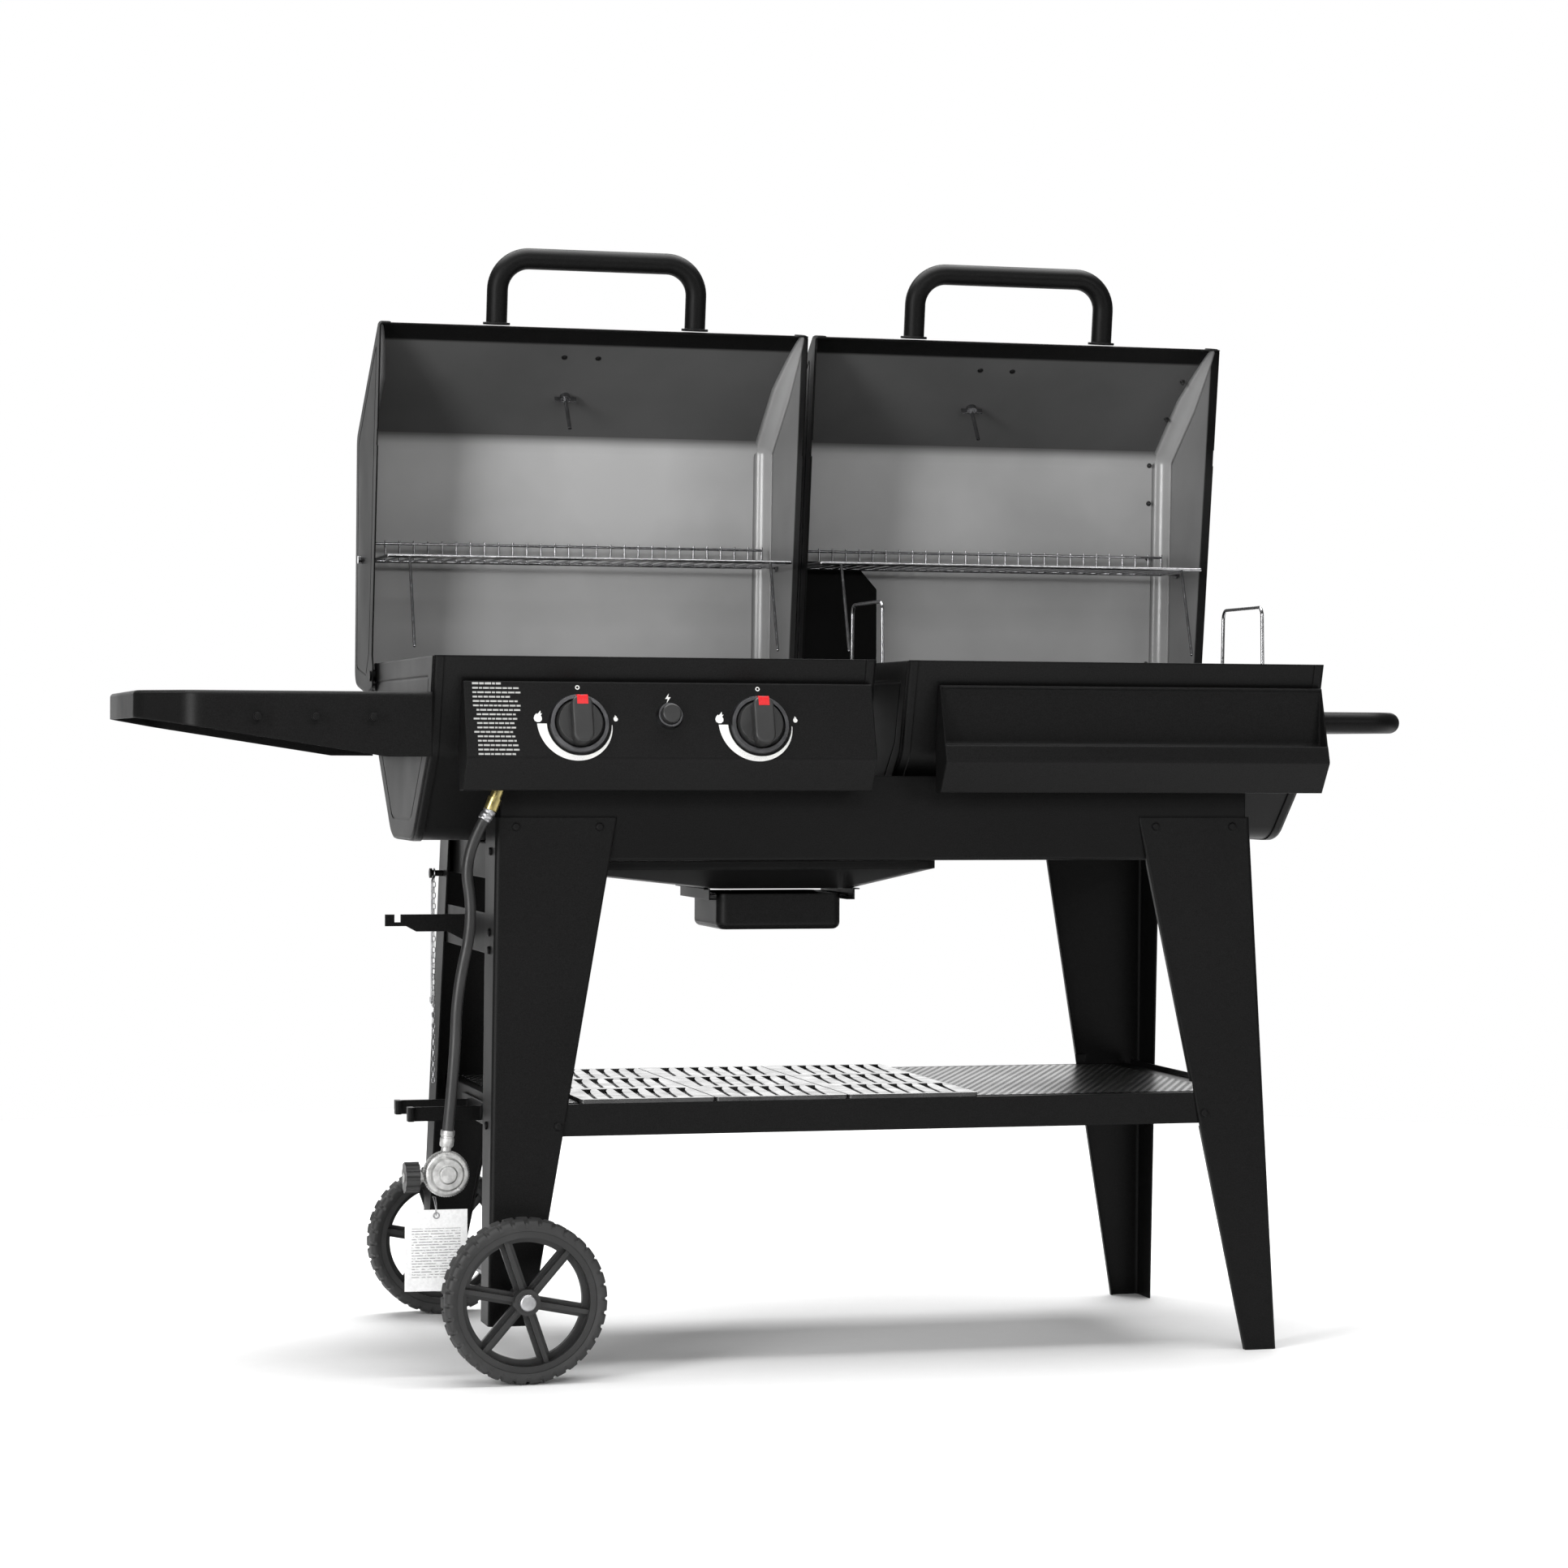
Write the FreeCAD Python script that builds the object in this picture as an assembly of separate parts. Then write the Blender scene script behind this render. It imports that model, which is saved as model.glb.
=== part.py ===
import FreeCAD, Part
import math
import os

# Two-lid gas and charcoal grill on a cart. Millimetres; X to the right, Y to the back, Z up.
# The model is drawn about the cart's centre and moved at the end so that its origin is the
# bottom centre of its box, without the hose and what hangs on it.

# Driving dimensions
sheet = 1.5                 # fireboxes, lids, panels
plate = 2.0                 # cart steel
fit = 0.06                  # radial clearance of a running fit
gap = 0.5                   # clearance between pieces that move past each other

legTop = 683
legTopX, legTopY = 496, 202         # outer corner of a leg at its top
splayX, splayY = 0.027, 0.083       # outward lean per unit of height
wheelRadius, wheelWidth = 100, 45
wheelX, wheelY = -477, 298
leftLegFoot = 62
legWidthFoot, legWidthGrowth = 43, 110      # front face: its width at the foot, and its growth
legFlangeFoot, legFlangeGrowth = 50, 20     # the same for the side flange

apronY, apronLow, apronHigh = 200, 628, 735
boxBottom, boxTop = 650, 880
boxMidY, boxHalfTop = -4, 240       # side view of a firebox
boxOuterX, boxInnerX = 582, 20
shelfLow, shelfHigh = 290, 329.5
shelfX, shelfY = 484, 229
grateLeft, grateFront, gratePitch = -392.5, -228, 171.5
grateWidth, grateDepth, grateThick = 169, 450, 5.5
firstSlot, slotPitch = 28, 20.5
slotOutline = (                     # across in mm, and the share of a band's depth
    (0, 0.93), (13.5, 0.93), (6, 0.74), (0, 0.48), (-6, 0.06), (-11, 0.06), (-6, 0.46))

hingeY, hingeZ = 219, 863
openAngle = 82
boltRadius = 4
rimZ = 856
lidOuterX, lidInnerX = 588, 5
lidDeepX = 14                       # width of the end caps' flanges
stemOffsets = {"left": -18, "right": -31}       # thermometers, from the lids' middles
handleOffsets = {"left": 0, "right": -16}       # lid handles, from the lids' middles

panelTop, panelBend, panelLow = 850, 756, 716
panelFaceY, panelBendY = -244, -272
panelLeft, panelRight = -545, -28
drawerLeft, drawerRight = 62, 577
drawerLow = 738
knobXs = (-404, -176)
igniterX = -290
knobZ = 798
buttonRadius = 12
burnerZ = 776
panMidX, panHalfX, panHalfY = -180, 262, 176
panRimZ, panRimHigh, panFlange = 617, 10.5, 12
cupMidX, cupMidY, cupHalfX, cupHalfY = -107, -30, 82, 72
cupLow, cupHigh = 537, 583
baseHalfX, baseHalfY, panBaseZ = 95, 85, 590
manifoldX, manifoldY, manifoldZ = -470, -222, 752

tubeRadius = 14
hoseRadius = 7
hoseRoute = (
    (-507, -222, 692), (-527, -222, 640), (-541, -223, 560),
    (-548, -225, 470), (-550, -224, 385), (-558, -222, 300))

V = FreeCAD.Vector
axisX, axisY, axisZ = V(1, 0, 0), V(0, 1, 0), V(0, 0, 1)
nodes = {}


# Basic shapes

def box(low, high):
    size = [b - a for a, b in zip(low, high)]
    return Part.makeBox(*size, V(*low))


def rod(start, end, radius):
    line = V(*end) - V(*start)
    return Part.makeCylinder(radius, line.Length, V(*start), line)


def ring(start, end, outer, inner):
    return rod(start, end, outer).cut(rod(start, end, inner))


def fuse(shapes):
    joined = shapes[0].multiFuse(shapes[1:]) if len(shapes) > 1 else shapes[0]
    return joined.removeSplitter()


def mirrorX(shape):
    return shape.mirror(V(0, 0, 0), axisX)


def onX(x):
    return lambda u, v: V(x, u, v)


def onY(y):
    return lambda u, v: V(u, y, v)


def onZ(z):
    return lambda u, v: V(u, v, z)


def roundedWire(points, place, closed=True):
    """Straight edges through (u, v, radius) points, each corner rounded by its tangent arc."""
    count = len(points)
    ends = []
    for i, point in enumerate(points):
        u, v = point[:2]
        radius = point[2] if len(point) > 2 else 0
        here = V(u, v, 0)
        if radius <= 0 or (not closed and i in (0, count - 1)):
            ends.append((here, None, here))
            continue
        before = (V(*points[i - 1][:2], 0) - here).normalize()
        after = (V(*points[(i + 1) % count][:2], 0) - here).normalize()
        half = before.getAngle(after) / 2
        reach = radius / math.tan(half)
        centre = here + (before + after).normalize() * (radius / math.sin(half))
        middle = centre + (here - centre).normalize() * radius
        ends.append((here + before * reach, middle, here + after * reach))
    edges = []
    for i, (first, middle, last) in enumerate(ends):
        if middle is not None:
            edges.append(Part.Arc(place(first.x, first.y), place(middle.x, middle.y),
                                  place(last.x, last.y)).toShape())
        if i < count - 1 or closed:
            target = ends[(i + 1) % count][0]
            if (target - last).Length > 1e-6:
                edges.append(Part.LineSegment(place(last.x, last.y),
                                              place(target.x, target.y)).toShape())
    return Part.Wire(edges)


def face(points, place):
    return Part.Face(roundedWire(points, place))


def prismX(points, low, high):
    return face(points, onX(low)).extrude(axisX * (high - low))


def prismY(points, low, high):
    return face(points, onY(low)).extrude(axisY * (high - low))


def prismZ(points, low, high):
    return face(points, onZ(low)).extrude(axisZ * (high - low))


def offsetPath(points, distance, closed=False):
    """The same path moved to its left by distance, its corner radii kept concentric."""
    flat = [V(p[0], p[1], 0) for p in points]
    radii = [p[2] if len(p) > 2 else 0 for p in points]
    count = len(points)
    moved = []
    for i, here in enumerate(flat):
        into = here - flat[i - 1] if closed or i > 0 else flat[1] - here
        out = flat[(i + 1) % count] - here if closed or i < count - 1 else into
        into, out = V(into).normalize(), V(out).normalize()
        side = V(-into.y, into.x, 0)
        other = V(-out.y, out.x, 0)
        turn = into.x * out.y - into.y * out.x
        shift = (side + other) * (distance / (1 + side.dot(other)))
        radius = radii[i] - math.copysign(distance, turn) if radii[i] else 0
        moved.append((here.x + shift.x, here.y + shift.y, max(radius, 0)))
    return moved


def strip(points, thickness):
    """Closed outline of a bent sheet: the path, and the path moved left by its thickness."""
    return list(points) + offsetPath(points, thickness)[::-1]


def runs(points):
    """Straight runs joined by tangent arcs through (x, y, z, radius) points, as one wire."""
    ends = []
    for i, point in enumerate(points):
        here = V(*point[:3])
        if i in (0, len(points) - 1):
            ends.append((here, None, here))
            continue
        before = (V(*points[i - 1][:3]) - here).normalize()
        after = (V(*points[i + 1][:3]) - here).normalize()
        half = before.getAngle(after) / 2
        reach = point[3] / math.tan(half)
        centre = here + (before + after).normalize() * (point[3] / math.sin(half))
        middle = centre + (here - centre).normalize() * point[3]
        ends.append((here + before * reach, middle, here + after * reach))
    edges = []
    for i, (first, middle, last) in enumerate(ends):
        if middle is not None:
            edges.append(Part.Arc(first, middle, last).toShape())
        if i < len(ends) - 1:
            edges.append(Part.LineSegment(last, ends[i + 1][0]).toShape())
    return Part.Wire(edges)


def tube(points, radius, bore=0):
    """A round bar or pipe along straight runs and tangent arcs."""
    path = runs(points)
    start = V(*points[0][:3])
    heading = V(*points[1][:3]) - start
    solids = []
    for size in (radius, bore):
        if size:
            circle = Part.Wire(Part.makeCircle(size, start, heading))
            solids.append(path.makePipeShell([circle], True, False))
    return solids[0].cut(solids[1]) if bore else solids[0]


def fillet(shape, radius, chosen):
    """Round the edges for which chosen(edge) holds."""
    edges = [edge for edge in shape.Edges if chosen(edge)]
    return shape.makeFillet(radius, edges)


def screwHead(centre, outward, radius=5, height=3):
    """A domed screw head standing on a surface."""
    base = V(*centre)
    head = Part.makeCylinder(radius, height, base, V(*outward))
    far = base + V(*outward).normalize() * height
    return fillet(head, height * 0.6, lambda e: (e.CenterOfMass - far).Length < 1e-3)


def turnLid(shape, angle=-openAngle):
    """Turn a piece drawn on the closed lid about the hinge line."""
    turned = shape.copy()
    turned.rotate(V(0, hingeY, hingeZ), axisX, angle)
    return turned


# Cart

def legCorner(z):
    fall = legTop - z
    return legTopX + splayX * fall, legTopY + splayY * fall


def legSection(z):
    """Plan of the right front leg: face, side flange and the return lip on the inner edge."""
    x, y = legCorner(z)
    share = z / legTop
    width = legWidthFoot + legWidthGrowth * share
    flange = legFlangeFoot + legFlangeGrowth * share
    outer = [(x - width, -y + 9), (x - width, -y, 3), (x, -y, 6), (x, -y + flange)]
    return roundedWire(strip(outer, plate), onZ(z))


def leg(foot):
    """One leg, its inner lip cut away where the apron and the shelf lie against its face."""
    body = Part.makeLoft([legSection(foot), legSection(legTop)], True, True)
    for low, high, front in ((apronLow - 3, legTop + 1, apronY + 0.1),
                             (shelfLow - 4, shelfHigh + 14, shelfY + 0.2)):
        x = legCorner(low)[0] - legWidthFoot - legWidthGrowth * low / legTop
        body = body.cut(box((x - 12, -front, low), (x + 6, -front + 30, high)))
    return body


def makeLegs():
    """Four splayed legs of bent sheet. The two on the left end above the floor, at the axle."""
    right, left = leg(0), mirrorX(leg(leftLegFoot))
    axleHole = rod((wheelX, -400, wheelRadius), (wheelX, 400, wheelRadius), 6 + fit)
    left = left.cut(axleHole)
    nodes["leg_front_right"] = right
    nodes["leg_rear_right"] = right.mirror(V(0, 0, 0), axisY)
    nodes["leg_front_left"] = left
    nodes["leg_rear_left"] = left.mirror(V(0, 0, 0), axisY)


def makeAprons():
    """Front and rear beams that the legs bolt to, and the cross rails that the fireboxes sit on."""
    half = legTopX - 6
    path = [(-apronY + 22, apronLow, 0), (-apronY, apronLow, 4), (-apronY, apronHigh, 0)]
    front = prismX(strip(path, -plate), -half, half)
    nodes["apron_front"] = front
    nodes["apron_rear"] = front.mirror(V(0, 0, 0), axisY)
    reach = apronY - plate - 0.1
    rails = []
    for x, side in ((-half + 2, 1), (half - 2, -1)):
        path = [(x, 604, 0), (x, boxBottom, 3), (x + side * 24, boxBottom, 0)]
        rail = prismY(strip(path, -plate * side), -reach, reach)
        for end in (-1, 1):
            low, high = sorted((end * (apronY - 23), end * (reach + 1)))
            rail = rail.cut(box((-half - 1, low, 600), (half + 1, high, apronLow + 6)))
        rails.append(rail)
    path = [(-18, 638, 0), (-18, boxBottom, 3), (18, boxBottom, 3), (18, 638, 0)]
    rails.append(prismY(strip(path, -plate), -reach, reach))
    nodes["cross_rails"] = Part.makeCompound(rails)


def makeShelf():
    """Bottom shelf: a shallow tray turned over, with a raised lip at its right end."""
    halfX, halfY = shelfX, shelfY
    outer = prismZ([(-halfX, -halfY, 2), (halfX, -halfY, 2), (halfX, halfY, 2), (-halfX, halfY, 2)],
                   shelfLow, shelfHigh)
    inner = box((-halfX + sheet, -halfY + sheet, shelfLow - 1),
                (halfX - sheet, halfY - sheet, shelfHigh - sheet))
    lip = box((halfX - sheet, -halfY + 22, shelfHigh - 1), (halfX, halfY - 22, shelfHigh + 7))
    ribs = [box((-halfX + sheet, y - 1, shelfHigh - 16), (halfX - sheet, y + 1, shelfHigh - sheet))
            for y in (-76, 76)]
    nodes["bottom_shelf"] = fuse([outer.cut(inner), lip] + ribs)


def grateFace(x0, y0, z):
    """A grate's top face: three bands of slots that taper and slant towards the front."""
    x1, y1 = x0 + grateWidth, y0 + grateDepth
    wires = [roundedWire([(x0, y0, 4), (x1, y0, 4), (x1, y1, 4), (x0, y1, 4)], onZ(z))]
    band = grateDepth / 3
    for row in range(3):
        for i in range(7):
            left = x0 + firstSlot + i * slotPitch
            near = y0 + row * band
            slot = [(left + u, near + share * band) for u, share in slotOutline]
            wires.append(roundedWire(slot, onZ(z)))
    return Part.makeFace(wires, "Part::FaceMakerBullseye")


def makeGrates():
    """Three cast-iron cooking grates, stored lying on the bottom shelf."""
    grates = []
    for i in range(3):
        top = grateFace(grateLeft + i * gratePitch, grateFront, shelfHigh)
        grates.append(top.extrude(axisZ * grateThick))
    nodes["cooking_grates"] = Part.makeCompound(grates)


def makeAxle():
    """Axle rod through the left legs, and the push-on caps that keep the wheels on it."""
    end = wheelY + wheelWidth / 2
    nodes["axle"] = rod((wheelX, -end, wheelRadius), (wheelX, end, wheelRadius), 6)
    caps = []
    for side in (-1, 1):
        start = (wheelX, side * end, wheelRadius)
        cap = rod(start, (wheelX, side * (end + 6), wheelRadius), 10.5)
        far = V(wheelX, side * (end + 6), wheelRadius)
        caps.append(fillet(cap, 3.5, lambda e: (e.CenterOfMass - far).Length < 1e-3))
    nodes["axle_caps"] = Part.makeCompound(caps)


def wheelRim():
    """Moulded rim with six ribbed spokes, drawn about the Y axis at the origin."""
    width = wheelWidth
    parts = [ring((0, -width / 2 + 3, 0), (0, width / 2 - 3, 0), 86, 78),
             ring((0, -4, 0), (0, 4, 0), 79, 71),
             ring((0, -width / 2, 0), (0, width / 2, 0), 16, 6 + fit)]
    for i in range(6):
        flat = box((12, -3, -8), (75, 3, 8))
        rib = box((12, -14, -3), (80, 14, 3))
        spoke = flat.fuse(rib)
        spoke.rotate(V(0, 0, 0), axisY, 11 + 60 * i)
        parts.append(spoke.cut(rod((0, -30, 0), (0, 30, 0), 6 + fit)))
    return fuse(parts)


def wheelTyre():
    """Tyre with a crowned tread, revolved about the Y axis."""
    half = wheelWidth / 2
    outline = [(86, -half + 2, 1), (wheelRadius - 3, -half, 4), (wheelRadius, -half + 9, 6),
               (wheelRadius, half - 9, 6), (wheelRadius - 3, half, 4), (86, half - 2, 1)]
    section = face(outline, lambda u, v: V(u, v, 0))
    return section.revolve(V(0, 0, 0), axisY, 360)


def makeWheels():
    rim, tyre = wheelRim(), wheelTyre()
    for name, side in (("front", -1), ("rear", 1)):
        place = V(wheelX, side * wheelY, wheelRadius)
        nodes["wheel_" + name] = rim.translated(place)
        nodes["tyre_" + name] = tyre.translated(place)


# Fireboxes

def boxProfile(inset=0, top=boxTop):
    """Side view of a firebox: straight top, leaning walls, rounded bottom."""
    half, mid = boxHalfTop, boxMidY
    points = [(mid - half, boxTop, 0), (mid - 205, 762, 40), (mid - 85, boxBottom, 60),
              (mid + 85, boxBottom, 60), (mid + 205, 762, 40), (mid + half, boxTop, 0)]
    moved = offsetPath(points, inset) if inset else points
    if top > boxTop:
        slope = (moved[1][0] - moved[0][0]) / (moved[0][1] - moved[1][1])
        rise = top - moved[0][1]
        moved[0] = (moved[0][0] - slope * rise, top, 0)
        moved[-1] = (moved[-1][0] + slope * rise, top, 0)
    return moved


def endCap(profile, inside, groove, outerX, side, deep, freeEdge):
    """Stamped end cap: a plate at outerX with a rounded edge, a pressed groove and a flange.

    side is +1 where the cap's outer face looks to +X. freeEdge(edge) is true where the
    outline is open, so that the edge stays sharp there.
    """
    low, high = sorted((outerX, outerX - side * deep))
    cap = prismX(profile, low, high)

    def rounded(edge):
        flat = abs(edge.BoundBox.XLength) < 1e-3 and abs(edge.CenterOfMass.x - outerX) < 1e-3
        return flat and not freeEdge(edge)
    cap = fillet(cap, 6, rounded)
    low, high = sorted((outerX - side * sheet, outerX - side * (deep + 1)))
    cap = cap.cut(prismX(inside, low, high))
    low, high = sorted((outerX + side, outerX - side * 0.7))
    outer = prismX(groove, low, high)
    inner = prismX(offsetPath(groove, 3, True), low - 1, high + 1)
    return cap.cut(outer.cut(inner))


def fireboxEnds(leftX, rightX):
    profile = boxProfile()
    inside = boxProfile(sheet, boxTop + 20)
    groove = offsetPath(boxProfile(), 26)
    groove[0] = (groove[0][0] + 7, boxTop - 24, 4)
    groove[-1] = (groove[-1][0] - 7, boxTop - 24, 4)
    caps = []
    for x, side in ((leftX, -1), (rightX, 1)):
        cap = endCap(profile, inside, groove, x, side, lidDeepX,
                     lambda e: e.BoundBox.ZLength < 1e-3 and e.CenterOfMass.z > boxTop - 1)
        hole = rod((x - 20, hingeY, hingeZ), (x + 20, hingeY, hingeZ), boltRadius + fit)
        caps.append(cap.cut(hole))
    return Part.makeCompound(caps)


def fireboxShell(leftX, rightX, holes):
    """Wrapped sheet between the end caps, with grate ledges inside the front and rear walls."""
    path = boxProfile(sheet)
    low, high = leftX + sheet, rightX - sheet
    shell = prismX(strip(path, sheet), low, high)
    ledges = []
    for y, side in ((boxMidY - boxHalfTop, 1), (boxMidY + boxHalfTop, -1)):
        at = y + side * 14
        ledge = [(at, 842, 0), (at + side * 16, 842, 2), (at + side * 16, 836, 0)]
        ledges.append(prismX(strip(ledge, -side * sheet), low + 20, high - 20))
    shell = fuse([shell] + ledges)
    for hole in holes:
        shell = shell.cut(hole)
    return shell


def makeFireboxes():
    left, right = (-boxOuterX, -boxInnerX), (boxInnerX, boxOuterX)
    burnerHoles = [rod((x, -260, burnerZ), (x, 0, burnerZ), 19) for x in knobXs]
    grease = box((-300, -60, 640), (-60, 60, 660))
    nodes["gas_firebox_shell"] = fireboxShell(*left, burnerHoles + [grease])
    nodes["gas_firebox_ends"] = fireboxEnds(*left)
    drawerHole = box((drawerLeft + 20, -230, drawerLow - 2.5), (drawerRight - 20, -120, drawerLow + 28))
    nodes["charcoal_firebox_shell"] = fireboxShell(*right, [drawerHole])
    nodes["charcoal_firebox_ends"] = fireboxEnds(*right)


# Controls and gas parts

faceLean = math.atan2(panelFaceY - panelBendY, panelTop - panelBend)
faceNormal = V(0, -math.cos(faceLean), math.sin(faceLean))


def onFace(x, z, out=0):
    """A point on the control panel's leaning face, moved out along its normal."""
    share = (panelTop - z) / (panelTop - panelBend)
    y = panelFaceY + (panelBendY - panelFaceY) * share
    return V(x, y, z) + faceNormal * out


def wallY(z):
    """The firebox front wall's outer face at a height above its bend."""
    return boxMidY - boxHalfTop + (boxTop - z) * 35 / 118


def fasciaSide(x0, x1):
    """Side plate between a fascia's sheet and the firebox wall."""
    outline = [(wallY(panelTop) - gap, panelTop - 1), (panelFaceY, panelTop - 1),
               (panelBendY, panelBend), (panelFaceY - 2, panelLow), (-222, panelLow),
               (wallY(768) - gap, 768)]
    return prismX(outline, x0, x1)


def makePanel():
    """Control panel: bent sheet with closed ends, a hole for each valve stem and the igniter."""
    path = [(wallY(panelTop) - gap, panelTop), (panelFaceY, panelTop, 3),
            (panelBendY, panelBend, 6), (panelFaceY - 2, panelLow, 3), (-236, panelLow)]
    sheetBody = prismX(strip(path, sheet), panelLeft, panelRight)
    ends = [fasciaSide(panelLeft, panelLeft + sheet), fasciaSide(panelRight - sheet, panelRight)]
    body = fuse([sheetBody] + ends)
    for x in knobXs:
        body = body.cut(rod(onFace(x, knobZ, -20), onFace(x, knobZ, 20), 7))
    nodes["control_panel"] = body.cut(rod(onFace(igniterX, knobZ + 10, -20),
                                          onFace(igniterX, knobZ + 10, 20), buttonRadius + gap))


def alongNormal(shape, origin):
    """Move a piece drawn with +Z as its outward axis and +Y up the face onto the panel."""
    placed = shape.copy()
    placed.rotate(V(0, 0, 0), axisX, 90 - math.degrees(faceLean))
    placed.translate(origin)
    return placed


def knob():
    """Control knob: a low skirt and a tall rounded grip block, on a stem."""
    skirt = Part.makeCone(30, 27, 9, V(0, 0, 1.5), axisZ)
    grip = prismZ([(-13, -30, 12), (13, -30, 12), (13, 30, 12), (-13, 30, 12)], 1.5, 27)
    grip = fillet(grip, 3, lambda e: e.BoundBox.ZLength < 1e-3 and e.CenterOfMass.z > 26)
    return fuse([skirt, grip.common(Part.makeCylinder(30, 30))])


def bezel(outer, inner, height):
    return Part.makeCone(outer, outer - 2, height).cut(Part.makeCylinder(inner, height + 1))


def makeKnobs():
    bezels = []
    for name, x in zip(("left", "right"), knobXs):
        nodes["knob_" + name] = alongNormal(knob(), onFace(x, knobZ))
        bezels.append(alongNormal(bezel(38, 31.5, 5), onFace(x, knobZ)))
    bezels.append(alongNormal(bezel(17, buttonRadius + gap, 7), onFace(igniterX, knobZ + 10)))
    nodes["panel_bezels"] = Part.makeCompound(bezels)
    button = Part.makeCylinder(buttonRadius, 15, V(0, 0, 1))
    button = fillet(button, 2.5, lambda e: e.CenterOfMass.z > 15.9)
    stem = Part.makeCylinder(6, 10, V(0, 0, -8))
    nodes["igniter_button"] = alongNormal(fuse([button, stem]), onFace(igniterX, knobZ + 10))


def makeGasParts():
    """Manifold pipe, a valve behind each knob, a tube burner fed by each valve, heat tents."""
    nodes["gas_manifold"] = rod((manifoldX, manifoldY, manifoldZ),
                                (-140, manifoldY, manifoldZ), 8)
    valves, burners, tents = [], [], []
    for x in knobXs:
        stem = rod(onFace(x, knobZ, -6), onFace(x, knobZ, 1), 4)
        shank = rod(onFace(x, knobZ, -22), onFace(x, knobZ, -5), 10)
        foot = rod((x, manifoldY, manifoldZ + 8.2), (x, manifoldY, 792), 6)
        valves.append(fuse([stem, shank, foot]))
        tubePart = ring((x, -212, burnerZ), (x, 150, burnerZ), 18, 16.5)
        end = rod((x, 150, burnerZ), (x, 152, burnerZ), 18)
        pin = rod((x, 152, burnerZ), (x, 194, burnerZ), 4)
        burners.append(fuse([tubePart, end, pin]))
        slope = [(x - 62, 806, 0), (x, 832, 4), (x + 62, 806, 0)]
        tents.append(prismY(strip(slope, -sheet), -196, 188))
    nodes["gas_valves"] = Part.makeCompound(valves)
    nodes["burners"] = Part.makeCompound(burners)
    nodes["heat_tents"] = Part.makeCompound(tents)


def rectangle(midX, midY, halfX, halfY, radius):
    return [(midX - halfX, midY - halfY, radius), (midX + halfX, midY - halfY, radius),
            (midX + halfX, midY + halfY, radius), (midX - halfX, midY + halfY, radius)]


def panSection(inset, z):
    corners = rectangle(panMidX, 0, panHalfX - inset, panHalfY - inset, 20 - inset)
    return roundedWire(corners, onZ(z))


def baseSection(inset, z):
    corners = rectangle(cupMidX, cupMidY, baseHalfX - inset, baseHalfY - inset, 20 - inset)
    return roundedWire(corners, onZ(z))


def makePanSlopes(pan):
    """The pan's base and four slopes, parted along its fold lines."""
    far = rectangle(panMidX, 0, panHalfX + 1, panHalfY + 1, 0)
    near = rectangle(cupMidX, cupMidY, baseHalfX, baseHalfY, 0)
    low, high = panBaseZ - 5, panRimZ + 5
    for i, name in enumerate(("front", "right", "back", "left")):
        j = (i + 1) % 4
        nodes["drip_pan_" + name] = pan.common(prismZ([far[i], far[j], near[j], near[i]],
                                                      low, high))
    nodes["drip_pan_base"] = pan.common(prismZ(near, low, high))


def makeGreaseParts():
    """Tapered drip pan under a rim, two hanger rails, and the cup that slides on them.

    The cup's walls and base are separate pieces, as the pan's slopes are.
    """
    outer = Part.makeLoft([panSection(0, panRimZ), baseSection(0, panBaseZ)], True, True)
    inner = Part.makeLoft([panSection(sheet, panRimZ + 0.1), baseSection(sheet, panBaseZ + sheet)],
                          True, True)
    drain = rod((cupMidX, cupMidY, panBaseZ - 10), (cupMidX, cupMidY, panBaseZ + 10), 25)
    makePanSlopes(outer.cut(inner).cut(drain))
    rise = V(0, 0, panRimHigh)
    rim = Part.Face(panSection(0, panRimZ)).extrude(rise)
    rim = rim.cut(Part.Face(panSection(sheet, panRimZ)).extrude(rise))
    high = panRimZ + panRimHigh
    flanges = [box((panMidX - 230, y, high - sheet), (panMidX + 230, y + panFlange, high))
               for y in (-panHalfY - panFlange + 1, panHalfY - 1)]
    nodes["drip_pan_rim"] = fuse([rim] + flanges)
    rails = []
    for side in (-1, 1):
        x = cupMidX + side * baseHalfX
        path = [(x + side * 8, panBaseZ, 0), (x, panBaseZ, 0), (x, 577, 0), (x - side * 9, 577, 0)]
        rails.append(prismY(strip(path, side * sheet), cupMidY - 80, cupMidY + 80))
    nodes["cup_hanger"] = Part.makeCompound(rails)
    cup = prismZ(rectangle(cupMidX, cupMidY, cupHalfX, cupHalfY, 14), cupLow, cupHigh)
    cup = fillet(cup, 9, lambda e: e.BoundBox.ZLength < 1e-3 and e.CenterOfMass.z < cupLow + 1)
    floor = cupLow + sheet
    inner = prismZ(rectangle(cupMidX, cupMidY, cupHalfX - sheet, cupHalfY - sheet, 14 - sheet),
                   floor, cupHigh + 1)
    inner = fillet(inner, 7.5, lambda e: e.BoundBox.ZLength < 1e-3 and e.CenterOfMass.z < floor + 1)
    lips = []
    for side in (-1, 1):
        low, high = sorted((cupMidX + side * cupHalfX, cupMidX + side * (cupHalfX + 10)))
        lips.append(box((low, cupMidY - cupHalfY + 10, cupHigh - 2),
                        (high, cupMidY + cupHalfY - 10, cupHigh)))
    cup = fuse([cup.cut(inner)] + lips)
    dish = box((cupMidX - cupHalfX - 20, cupMidY - cupHalfY - 20, cupLow - 1),
               (cupMidX + cupHalfX + 20, cupMidY + cupHalfY + 20, cupLow + 3 * sheet))
    nodes["grease_cup"] = cup.cut(dish)
    nodes["grease_cup_base"] = cup.common(dish)


# Charcoal parts

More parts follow.
